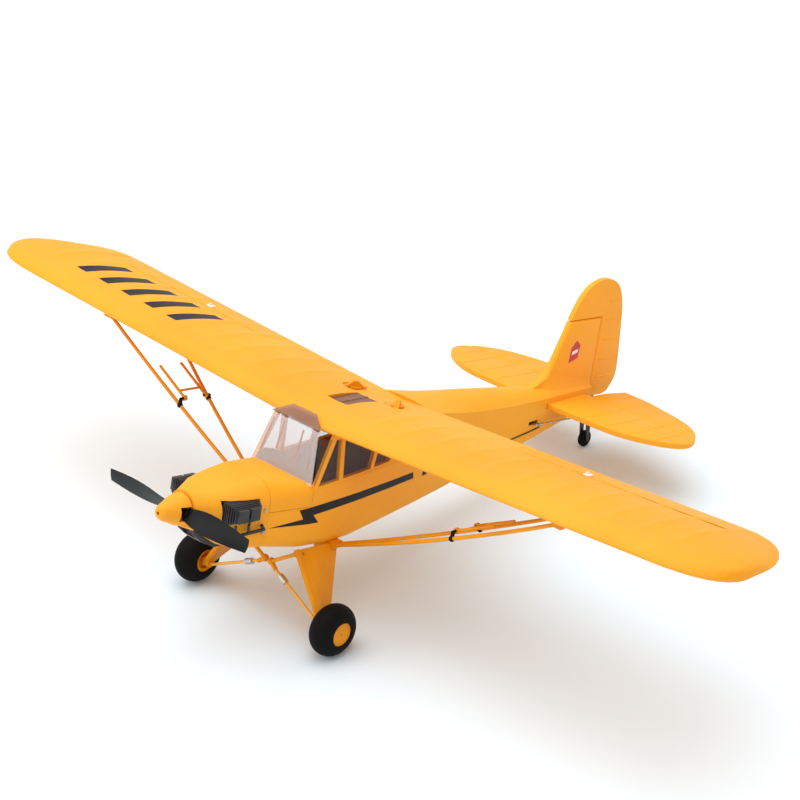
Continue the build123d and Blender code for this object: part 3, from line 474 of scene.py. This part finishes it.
@dataclass(frozen=True)
class Banded(Finish):
    """Black plastic between two span stations, and the struts' orange outside them."""

    orange: Colour = (0.8, 0.29, 0.003)
    inner: float = 0.06
    outer: float = 0.18

    def build(self) -> bpy.types.Material:
        """Makes the material: one of two colours, from the distance to the centreline."""
        graph = Graph(self.name)
        parts = graph.node("ShaderNodeSeparateXYZ")
        graph.link(graph.object_space, parts.inputs["Vector"])
        reach = graph.node("ShaderNodeMath", operation="ABSOLUTE")
        graph.link(parts.outputs["X"], reach.inputs[0])
        middle = graph.node("ShaderNodeMath", operation="COMPARE")
        graph.link(reach.outputs[0], middle.inputs[0])
        middle.inputs[1].default_value = (self.inner + self.outer) / 2.0
        middle.inputs[2].default_value = (self.outer - self.inner) / 2.0
        mottle = graph.ramp(graph.noise(28.0), [(0.35, self.shade), (0.65, self.colour)])
        graph.link(graph.mix(middle.outputs[0], self.orange, mottle), graph.shader.inputs["Base Color"])
        graph.link(graph.span(graph.noise(70.0), *self.rough), graph.shader.inputs["Roughness"])
        graph.shader.inputs["Specular IOR Level"].default_value = self.specular
        graph.bump((graph.noise(self.grain), self.grain_depth))
        return graph.material


@dataclass(frozen=True)
class Finishes:
    """Every finish on the aeroplane."""

    foam: Finish = Foam("sprayed_foam", (0.94, 0.38, 0.014), (0.87, 0.33, 0.01), (0.45, 0.62),
                        specular=0.25)
    trim: Finish = Finish("orange_plastic", (0.82, 0.31, 0.003), (0.7, 0.24, 0.002), (0.35, 0.5),
                          specular=0.18)
    wire: Finish = Finish("painted_wire", (0.82, 0.29, 0.004), (0.62, 0.19, 0.003), (0.3, 0.5),
                          specular=0.2)
    black: Finish = Finish("black_plastic", (0.004, 0.004, 0.0045), (0.002,) * 3, (0.35, 0.5),
                           specular=0.12)
    prop: Finish = Finish("propeller_nylon", (0.006, 0.006, 0.0065), (0.003,) * 3, (0.26, 0.38),
                          specular=0.16)
    gloss: Finish = Finish("dash_gloss", (0.008, 0.008, 0.009), (0.004,) * 3, (0.22, 0.32),
                           specular=0.2)
    white: Finish = Finish("white_nylon", (0.85, 0.84, 0.8), (0.75, 0.73, 0.68))
    steel: Finish = Finish("bright_steel", (0.6, 0.58, 0.56), (0.42, 0.4, 0.38), (0.2, 0.38), metal=1.0)
    carbon: Finish = Finish("carbon_tube", (0.02,) * 3, (0.04,) * 3, (0.2, 0.4))
    rubber: Finish = Finish("foam_rubber", (0.004,) * 3, (0.007, 0.0065, 0.006), (0.5, 0.72),
                            grain=1400.0, grain_depth=0.00012, specular=0.07)
    screen: Finish = Glazing("clear_screen", (0.9, 0.8, 0.78), (0.82, 0.72, 0.7), (0.05, 0.12),
                             clear=0.97, streaks=0.02)
    smoke: Finish = Glazing("smoked_film", (0.15, 0.075, 0.05), (0.09, 0.045, 0.03), (0.08, 0.2),
                            clear=0.76)
    visor: Finish = Glazing("brown_visor", (0.33, 0.16, 0.1), (0.2, 0.09, 0.06), (0.1, 0.3),
                            clear=0.5, streaks=0.16)
    fitting: Finish = Banded("strut_fitting", (0.005,) * 3, (0.003,) * 3, (0.35, 0.5), specular=0.12)
    frame: Finish = Finish("rust_frame", (0.3, 0.075, 0.035), (0.22, 0.05, 0.025), (0.35, 0.55))
    tub: Finish = Finish("red_lining", (0.42, 0.035, 0.012), (0.3, 0.022, 0.008), (0.5, 0.7))
    seat: Finish = Finish("seat_plastic", (0.05, 0.045, 0.045), (0.03, 0.028, 0.028), (0.45, 0.65))
    wrap: Finish = Finish("battery_wrap", (0.05, 0.12, 0.35), (0.04, 0.09, 0.3), (0.2, 0.35))
    ink: Finish = Finish("black_film", (0.010, 0.010, 0.011), (0.014, 0.014, 0.015), (0.35, 0.5),
                         specular=0.18)
    red: Finish = Finish("red_film", (0.55, 0.02, 0.02), (0.48, 0.015, 0.015), (0.3, 0.45))
    pale: Finish = Finish("white_film", (0.85, 0.82, 0.8), (0.8, 0.76, 0.72), (0.3, 0.45))
    # Painted shade: the dark red of the shaded hollow in the spinner's tip and in the hubs' middles.
    plug: Finish = Finish("spinner_plug", (0.5, 0.06, 0.01), (0.36, 0.035, 0.006), (0.4, 0.6))



FINISH = Finishes()


# ---- sub-assemblies -------------------------------------------------------------------------
@dataclass
class Wing:
    """The two foam wing panels and their ailerons, with rib ridges under the skin."""

    rib_pitch: float = 23.5
    first_rib: float = 46.0
    last_rib: float = 300.0
    ridge: float = 0.75
    ridge_reach: float = 7.0
    ridge_steps: tuple[float, ...] = (1.5, 3.5)
    rib_front: tuple[float, float] = (6.0, 22.0)
    rib_back: tuple[float, float] = (97.0, 10.0)
    groove: float = 0.7
    bar_count: int = 5
    bar_pitch: float = 24.0
    bar_width: float = 10.0
    bar_start: float = 150.0
    bar_front: float = 24.0
    bar_back: float = 62.0
    bar_slant: float = 0.2
    bar_above: float = 30.0
    clip_spot: Spot = (172.0, 76.6, 5.75)
    clip_size: Spot = (4.6, 5.0, 1.0)

    def ribs(self) -> list[float]:
        """Span stations of the ribs."""
        count = int((self.last_rib - self.first_rib) / self.rib_pitch) + 1
        return [self.first_rib + self.rib_pitch * i for i in range(count)]

    def crown(self, point: Vector) -> float:
        """How far a skin point stands out, from the nearest rib and its place along the chord."""
        near = min(abs(abs(point.x) - rib) for rib in self.ribs())
        across = max(0.0, 1.0 - near / self.ridge_reach) ** 1.6
        start, rise = self.rib_front
        end, fall = self.rib_back
        along = min(1.0, max(0.0, (point.y - start) / rise)) * min(1.0, max(0.0, (end - point.y) / fall))
        return self.ridge * across * along

    def skin(self, node: str, name: str, side: Side, body: str) -> bpy.types.Object:
        """One foam piece of the wing with its ridges raised.

        Args:
            node: the CAD node that it stands for.
            name: the new piece's name.
            side: which wing.
            body: the body that it rides on.

        Returns:
            The finished piece.
        """
        matrix = DATUM.wing_matrix(side)
        piece = Bench.copy_node(node, name, matrix)
        if body != "airframe":
            Bench.bevel(piece, self.groove, 2, 50.0)
        spread = max(abs(v.co.x) for v in piece.data.vertices)
        steps = (*self.ridge_steps, self.ridge_reach)
        offsets = [-step for step in reversed(steps)] + [0.0, *steps]
        for rib in self.ribs():
            for offset in offsets:
                if rib + offset < spread:
                    at = Vector(((rib + offset) * side.value, 0.0, 0.0))
                    Bench.slice(piece, at, Vector((1.0, 0.0, 0.0)), lambda c, n: abs(n.z) > 0.4)
        for point in piece.data.vertices:
            if abs(point.normal.z) > 0.5:
                point.co.z += math.copysign(self.crown(point.co), point.normal.z)
        Bench.smooth(piece, 28.0)
        return Bench.place(piece, matrix, body, "foam", FINISH.foam, (node,))

    def build(self) -> None:
        """Both panels, both ailerons, and the markings on the right panel."""
        for side in Side:
            panel = self.skin(f"wing_{side.word}", f"wing_skin_{side.word}", side, "airframe")
            self.skin(f"aileron_{side.word}", f"aileron_skin_{side.word}", side, f"aileron_{side.word}")
            self.horn_clip(side)
            if side is Side.RIGHT:
                self.bars(panel)

    def bars(self, panel: bpy.types.Object) -> None:
        """Plain slanted bars in black film on the right panel's upper side."""
        matrix = DATUM.wing_matrix(Side.RIGHT)
        panel.data.transform(matrix.inverted())
        for i in range(self.bar_count):
            x = -self.bar_start - self.bar_pitch * i
            lean = self.bar_slant * (self.bar_back - self.bar_front)
            outline = [(x, self.bar_front), (x + lean, self.bar_back),
                       (x + lean - self.bar_width, self.bar_back), (x - self.bar_width, self.bar_front)]
            above = Matrix.Translation((0.0, 0.0, self.bar_above))
            bar = Bench.patch(f"wing_bar_{i + 1}", outline, above)
            Bench.take(bar)
            bpy.ops.object.mode_set(mode="EDIT")
            bpy.ops.mesh.select_all(action="SELECT")
            bpy.ops.mesh.subdivide(number_cuts=11)
            bpy.ops.object.mode_set(mode="OBJECT")
            Bench.lay_on(bar, panel, "z", 0.06)
            Bench.place(bar, matrix, "airframe", "black_plastic", FINISH.ink)
        panel.data.transform(matrix)

    def horn_clip(self, side: Side) -> None:
        """The white clip of the aileron's horn that shows on top: a plate and a raked post."""
        matrix = DATUM.wing_matrix(side)
        x, y, z = self.clip_spot
        Bench.clear()
        bpy.ops.mesh.primitive_cube_add(size=1.0, location=(x * side.value, y, z))
        clip = bpy.context.object
        clip.name = f"horn_clip_{side.word}"
        clip.scale = self.clip_size
        bpy.ops.object.transform_apply(location=True, rotation=True, scale=True)
        Bench.select(clip, Element.FACES, lambda c, n: n.z > 0.9)
        bpy.ops.mesh.inset(thickness=1.5)
        bpy.ops.mesh.extrude_region_move(TRANSFORM_OT_translate={"value": (0.0, -0.8, 1.5)})
        bpy.ops.object.mode_set(mode="OBJECT")
        Bench.bevel(clip, 0.3, 2)
        Bench.smooth(clip)
        Bench.place(clip, matrix, f"aileron_{side.word}", "white_plastic", FINISH.white)


@dataclass
class Tail:
    """The tailplane, elevators and rudder: foam boards with round rims and rib lines."""

    edge: float = 1.85
    groove_half: float = 0.55
    groove_depth: float = 0.4
    on_line: float = 0.02
    rib_lines: tuple[float, ...] = (24.0, 42.0, 60.0, 78.0, 94.0)
    rudder_front: float = 299.0
    rudder_ribs: tuple[tuple[float, float], ...] = (
        (-6.0, 318.5), (8.0, 320.0), (23.0, 317.5), (38.0, 314.0), (52.0, 308.0))
    rib_radius: float = 1.5
    rib_stand: float = 0.4
    board_half: float = 2.0

    def board(self, node: str, name: str) -> bpy.types.Object:
        """A copy of a flat foam piece with its rim rounded, ready for its lines."""
        piece = Bench.copy_node(node, name, DATUM.matrix())
        Bench.bevel(piece, self.edge, 4, 50.0)
        return piece

    def line_across(self, piece: bpy.types.Object, station: float, side: Side) -> None:
        """Presses a rib line into a level board at a span station."""
        for offset in (-self.groove_half, 0.0, self.groove_half):
            at = Vector(((station + offset) * side.value, 0.0, 0.0))
            Bench.slice(piece, at, Vector((1.0, 0.0, 0.0)), lambda c, n: abs(n.z) > 0.9)
        x = station * side.value
        for point in piece.data.vertices:
            if abs(point.co.x - x) < self.on_line and abs(point.normal.z) > 0.8:
                point.co.z -= math.copysign(self.groove_depth, point.normal.z)

    def ridges(self) -> bpy.types.Object:
        """The rudder's raised rib lines, five on each side."""
        depth = self.board_half + self.rib_stand - self.rib_radius
        rods = []
        for side in Side:
            for height, back in self.rudder_ribs:
                ends = [(depth * side.value, y, height) for y in (self.rudder_front, back)]
                rods.append(Bench.rod(f"rib_{len(rods)}", ends, self.rib_radius, 20))
        Bench.clear()
        for piece in rods:
            piece.select_set(True)
        bpy.context.view_layer.objects.active = rods[0]
        bpy.ops.object.join()
        rods[0].name = "rudder_ribs"
        Bench.smooth(rods[0], 40.0)
        return rods[0]

    def build(self) -> None:
        """All tail pieces."""
        for node, body in (("stabiliser", "airframe"), ("elevators", "elevator")):
            piece = self.board(node, f"{node}_skin")
            for side in Side:
                for station in self.rib_lines:
                    self.line_across(piece, station, side)
            Bench.smooth(piece, 35.0)
            Bench.place(piece, DATUM.matrix(), body, "foam", FINISH.foam, (node,))
        rudder = self.board("rudder", "rudder_skin")
        Bench.smooth(rudder, 35.0)
        Bench.place(rudder, DATUM.matrix(), "rudder", "foam", FINISH.foam, ("rudder",))
        Bench.place(self.ridges(), DATUM.matrix(), "rudder", "foam", FINISH.foam)


@dataclass
class Fuselage:
    """The foam hull in two halves, with its fin, markings and aerial lead."""

    fin_round: float = 2.4
    fin_half: float = 3.0
    fin_low: float = -2.0
    fin_start: float = 222.0
    fillet_front: float = 217.0
    fillet_back: float = 291.5
    fillet_peak: float = 246.5
    fillet_rise: float = 16.0
    fillet_stern: float = 9.0
    fillet_rows: int = 48
    fillet_columns: int = 12
    fillet_wall: float = 1.2
    fillet_top_half: float = 2.6
    fillet_width: tuple[float, float] = (13.0, -7.6)
    fillet_crease: tuple[float, float] = (-11.1, -0.9)
    fillet_deck: tuple[float, float] = (-6.3, -3.0)
    beside: float = 36.0
    spike: tuple[tuple[float, float], ...] = (
        (-41.3, -56.4), (-14.6, -53.7), (-18.6, -47.1), (87.4, -38.6), (88.6, -43.1), (-6.1, -52.1),
        (-0.7, -57.9))
    bar_first: tuple[float, float] = (97.5, -36.6)
    bar_step: tuple[float, float] = (9.5, 1.2)
    bar_corners: tuple[tuple[float, float], ...] = ((0.0, -6.5), (5.0, -6.2), (6.4, 4.2), (1.4, 3.9))
    film_step: float = 3.0
    film_lift: float = 0.06
    badge_lift: float = 0.08
    shield: tuple[tuple[float, float], ...] = (
        (262.5, 9.0), (272.0, 12.0), (272.8, 21.5), (268.0, 25.5), (263.0, 20.0))
    badge_bar: tuple[tuple[float, float], ...] = (
        (264.6, 14.8), (270.6, 16.4), (270.8, 19.0), (264.8, 17.4))
    lead_route: tuple[Spot, ...] = (
        (15.6, 190.0, -36.0), (14.6, 205.0, -34.6), (12.9, 221.0, -33.1), (11.6, 232.0, -31.9))
    lead_radius: float = 0.45

    @staticmethod
    def beside_plane(distance: float) -> Matrix:
        """The upright plane at a distance from the centreline, its axes aft and up."""
        return Matrix(((0.0, 0.0, 1.0, distance), (1.0, 0.0, 0.0, 0.0), (0.0, 1.0, 0.0, 0.0),
                       (0.0, 0.0, 0.0, 1.0)))

    def build(self) -> None:
        """Both halves, their stripes, the fin's root and its badge."""
        for side in Side:
            half = self.half(side)
            self.stripe(side, half)
            self.badge(side)
            Bench.place(half, DATUM.matrix(), "airframe", "foam", FINISH.foam, (f"fuselage_{side.word}",))
        self.fin_root()
        self.lead()

    def half(self, side: Side) -> bpy.types.Object:
        """One hull half with a rounded fin and softened edges."""
        piece = Bench.copy_node(f"fuselage_{side.word}", f"hull_{side.word}", DATUM.matrix())

        def fin_rim(centre: Vector, along: Vector) -> bool:
            """Whether an edge stands on the rim of the fin's side."""
            on_side = abs(abs(centre.x) - self.fin_half) < 0.05
            return on_side and centre.z > self.fin_low and centre.y > self.fin_start

        if Bench.select(piece, Element.EDGES, fin_rim):
            bpy.ops.mesh.bevel(offset=self.fin_round, segments=4, affect="EDGES")
        bpy.ops.object.mode_set(mode="OBJECT")
        Bench.smooth(piece, 32.0)
        return piece

    def stripe(self, side: Side, hull: bpy.types.Object) -> None:
        """The black stripe with its jog, and plain bars where lettering would stand."""
        self.film(f"stripe_{side.word}", self.spike, side, hull)
        for i in range(3):
            y, z = (first + step * i for first, step in zip(self.bar_first, self.bar_step))
            bar = [(y + across, z + up) for across, up in self.bar_corners]
            self.film(f"side_bar_{i + 1}_{side.word}", bar, side, hull)

    def film(self, name: str, outline: Sequence[tuple[float, float]], side: Side,
             hull: bpy.types.Object) -> None:
        """A piece of black film pressed onto the hull's side."""
        piece = Bench.patch(name, outline, self.beside_plane(self.beside * side.value))
        low, high = (limit(y for y, z in outline) for limit in (min, max))
        steps = max(2, int((high - low) / self.film_step))
        for i in range(1, steps):
            at = Vector((0.0, low + (high - low) * i / steps, 0.0))
            Bench.slice(piece, at, Vector((0.0, 1.0, 0.0)), lambda c, n: True)
        Bench.lay_on(piece, hull, "x", self.film_lift)
        Bench.outward(piece)
        Bench.place(piece, DATUM.matrix(), "airframe", "black_plastic", FINISH.ink)

    def badge(self, side: Side) -> None:
        """A small plain badge on the fin: a red shield with a pale bar."""
        surface = self.fin_half + self.film_lift
        for name, outline, lift, finish in (
                ("badge", self.shield, 0.0, FINISH.red),
                ("badge_bar", self.badge_bar, self.badge_lift, FINISH.pale)):
            raised = self.beside_plane((surface + lift) * side.value)
            piece = Bench.patch(f"{name}_{side.word}", outline, raised)
            Bench.modify(piece, "SOLIDIFY", thickness=self.badge_lift, offset=0.0)
            Bench.outward(piece)
            Bench.place(piece, DATUM.matrix(), "airframe", "black_plastic", finish)

    def fillet_height(self, y: float) -> float:
        """How far the fin's root curve climbs above the deck at a station."""
        if y < self.fillet_peak:
            return self.fillet_rise * ((y - self.fillet_front) / (self.fillet_peak - self.fillet_front)) ** 3
        back = (y - self.fillet_peak) / (self.fillet_back - self.fillet_peak)
        return self.fillet_rise + (self.fillet_stern - self.fillet_rise) * back * back * (3.0 - 2.0 * back)

    def fin_root(self) -> None:
        """The hollow curve that carries the deck up into the fin.

        Its width, crease and deck are each a value at the front and the change to the back.
        """
        Bench.clear()
        bpy.ops.mesh.primitive_grid_add(x_subdivisions=2 * self.fillet_columns,
                                        y_subdivisions=self.fillet_rows, size=2.0)
        piece = bpy.context.object
        piece.name = "fin_root"
        for point in piece.data.vertices:
            along = (point.co.y + 1.0) / 2.0
            y = self.fillet_front + (self.fillet_back - self.fillet_front) * along
            share = abs(point.co.x)
            width, crease, deck = (
                front + change * along
                for front, change in (self.fillet_width, self.fillet_crease, self.fillet_deck))
            top = deck + self.fillet_height(y)
            turn = share * math.pi / 2.0
            edge = min(1.0, 0.35 + self.fillet_height(y) / 10.0) * self.fillet_top_half
            x = edge + (width - edge) * (1.0 - math.cos(turn))
            z = crease + (top - crease) * (1.0 - math.sin(turn))
            point.co = Vector((math.copysign(x if share > 0.04 else 0.0, point.co.x), y, z))
        Bench.modify(piece, "SOLIDIFY", thickness=self.fillet_wall, offset=-1.0)
        Bench.outward(piece)
        Bench.smooth(piece, 60.0)
        Bench.place(piece, DATUM.matrix(), "airframe", "foam", FINISH.foam)

    def lead(self) -> None:
        """The thin black aerial lead stuck along the left side of the tail."""
        piece = Bench.rod("aerial_lead", self.lead_route, self.lead_radius, 10)
        Bench.smooth(piece)
        Bench.place(piece, DATUM.matrix(), "airframe", "black_plastic", FINISH.black)


@dataclass
class Dressing:
    """Better finishes for the CAD nodes whose shape stays."""

    def finishes(self) -> dict[str, Finish]:
        """The finish of each of the record's material slots."""
        return {
            "foam": FINISH.foam, "yellow_plastic": FINISH.trim, "painted_wire": FINISH.wire,
            "black_plastic": FINISH.black, "white_plastic": FINISH.white, "steel": FINISH.steel,
            "carbon_tube": FINISH.carbon, "clear_screen": FINISH.screen, "smoked_glazing": FINISH.smoke,
            "rust_frame": FINISH.frame, "red_interior": FINISH.tub, "seat_grey": FINISH.seat,
            "battery_wrap": FINISH.wrap, "foam_tyre": FINISH.rubber,
        }

    def special(self) -> dict[str, Finish]:
        """Nodes that differ from their slot's usual finish."""
        return {
            "propeller": FINISH.prop, "instrument_panel": FINISH.gloss, "spinner": FINISH.foam,
            "roof_windows": FINISH.visor, "strut_fittings": FINISH.fitting,
        }

    def build(self) -> None:
        """Gives every CAD node its finish."""
        slots = {row["node"]: row["material_slot"] for row in frame["record"]["subparts"]}
        for name, node in frame["nodes"].items():
            finish = self.special().get(name, self.finishes()[slots[name]])
            if not node.data.materials:
                node.data.materials.append(None)
            for i in range(len(node.data.materials)):
                node.data.materials[i] = finish.material()


@dataclass
class Smoothed:
    """CAD pieces shown as softened copies: the same shape with its edges eased."""

    pieces: tuple[tuple[str, str, float], ...] = (
        ("cowling", "cowl_skin", 0.35),
        ("nose_hatch", "hatch_skin", 0.25),
        ("cylinders", "dummy_cylinders", 0.3),
        ("seats", "bucket_seats", 1.2),
        ("air_scoop", "carburettor_scoop", 0.9),
        ("gear_legs", "undercarriage_legs", 0.4),
        ("instrument_panel", "instrument_hood", 0.3),
    )
    # Painted shade: a thin dark red disc stands in the spinner tip's hole, where its inside lies in shade.
    tip_shade_disc_ends: tuple[float, float] = (-110.9, -109.2)
    tip_shade_disc_radius: float = 1.12
    axle_spot: Spot = (71.45, -9.2, -116.2)
    # Painted shade: a thin dark red disc in each hub's middle dimple, where it lies in shade.
    dimple_disc_thickness: float = 0.25
    dimple_disc_radius: float = 0.55

    def spinner_plug(self) -> None:
        """A dark red disc painted as the shade inside the hole in the spinner's tip, on the thrust line."""
        x, _, z = DATUM.prop_centre
        ends = [(x, y, z) for y in self.tip_shade_disc_ends]
        piece = Bench.rod("spinner_tip_plug", ends, self.tip_shade_disc_radius, 20)
        Bench.smooth(piece)
        Bench.place(piece, DATUM.matrix(), "propeller", "yellow_plastic", FINISH.plug)

    def hub_dimple_shades(self) -> None:
        """A dark red disc painted as the shade in the dimple in the middle of each hub's outer disc."""
        x, y, z = self.axle_spot
        for side in Side:
            spots = [((x + step) * side.value, y, z) for step in (0.0, self.dimple_disc_thickness)]
            piece = Bench.rod(f"axle_end_{side.word}", spots, self.dimple_disc_radius, 14)
            Bench.smooth(piece)
            Bench.place(piece, DATUM.matrix(), f"wheel_{side.word}", "yellow_plastic", FINISH.plug)

    def build(self) -> None:
        """Copies, bevels and places each piece."""
        bodies = frame["record"]["behaviour"]["bodies"]
        slots = {row["node"]: row["material_slot"] for row in frame["record"]["subparts"]}
        dress = Dressing()
        for node, name, width in self.pieces:
            piece = Bench.copy_node(node, name, DATUM.matrix())
            Bench.bevel(piece, width, 2, 45.0)
            Bench.smooth(piece, 34.0)
            body = next(key for key, members in bodies.items() if node in members)
            finish = dress.special().get(node, dress.finishes()[slots[node]])
            Bench.place(piece, DATUM.matrix(), body, slots[node], finish, (node,))
        self.spinner_plug()
        self.hub_dimple_shades()


@dataclass
class Studio:
    """Floor, soft light and camera."""

    floor_size: float = 14.0
    # Painted correction of light: a cool tint under the aeroplane cancels the orange light that it bounces onto
    # the floor.
    floor_bounce_cancel: Colour = (0.76, 0.88, 0.955)
    floor_far: Colour = (0.9, 0.9, 0.9)
    camera_spot: Spot = (0.9855, -1.0209, 0.8484)
    camera_right: Spot = (0.71652, 0.69757, 0.0)
    camera_up: Spot = (-0.32344, 0.33213, 0.88605)
    lens: float = 109.1
    near_reach: float = 0.12
    far_reach: float = 0.62
    sky_strength: float = 0.76

    def build(self) -> None:
        """Sets the whole stage."""
        self.floor()
        self.light("overhead_soft", spot=(-0.35, -0.1, 2.0), aim=(0.0, 0.0, 0.0), size=2.8, power=42.0)
        self.light("front_fill", spot=(-1.4, -1.9, 1.1), aim=(0.0, 0.0, 0.05), size=1.4, power=9.0)
        self.sky()
        self.camera()

    def floor(self) -> None:
        """A pale floor with a cool tint painted under the aeroplane to cancel the orange light it bounces there,
        plain grey further out.
        """
        Bench.clear()
        bpy.ops.mesh.primitive_grid_add(x_subdivisions=4, y_subdivisions=4, size=self.floor_size)
        floor = bpy.context.object
        floor.name = "studio_floor"
        graph = Graph("pale_floor")
        reach = graph.node("ShaderNodeVectorMath", operation="LENGTH")
        graph.link(graph.object_space, reach.inputs[0])
        stops = [(self.near_reach, self.floor_bounce_cancel), (self.far_reach, self.floor_far)]
        tone = graph.ramp(reach.outputs["Value"], stops)
        graph.link(tone, graph.shader.inputs["Base Color"])
        graph.shader.inputs["Roughness"].default_value = 0.85
        graph.shader.inputs["Specular IOR Level"].default_value = 0.1
        floor.data.materials.append(graph.material)

    def light(self, name: str, spot: Spot, aim: Spot, size: float, power: float) -> None:
        """A square soft light aimed at a point."""
        lamp = bpy.data.lights.new(name, "AREA")
        lamp.size = size
        lamp.energy = power
        holder = bpy.data.objects.new(name, lamp)
        holder.location = spot
        holder.rotation_euler = (Vector(aim) - Vector(spot)).to_track_quat("-Z", "Y").to_euler()
        bpy.context.scene.collection.objects.link(holder)

    def sky(self) -> None:
        """Even white surroundings."""
        world = bpy.data.worlds.new("studio")
        world.use_nodes = True
        backdrop = world.node_tree.nodes["Background"]
        backdrop.inputs["Color"].default_value = (1.0, 1.0, 1.0, 1.0)
        backdrop.inputs["Strength"].default_value = self.sky_strength
        bpy.context.scene.world = world
        bpy.context.scene.view_settings.view_transform = "Standard"

    def camera(self) -> None:
        """A long-lens camera ahead of the left wing, looking down on the nose."""
        right, up = Vector(self.camera_right), Vector(self.camera_up)
        back = right.cross(up)
        pose = Matrix((right, up, back)).transposed().to_4x4()
        pose.translation = Vector(self.camera_spot)
        lens = bpy.data.cameras.new("studio_camera")
        lens.lens = self.lens
        lens.sensor_width = 36.0
        lens.clip_start = 0.05
        holder = bpy.data.objects.new("studio_camera", lens)
        holder.matrix_world = pose
        bpy.context.scene.collection.objects.link(holder)
        bpy.context.scene.camera = holder


def main() -> None:
    """Builds every sub-assembly in order."""
    logging.basicConfig(level=logging.INFO, format="%(message)s")
    for part in (Dressing(), Wing(), Tail(), Fuselage(), Smoothed(), Studio()):
        LOG.info("building %s", type(part).__name__)
        part.build()


if __name__ == "__main__":
    main()
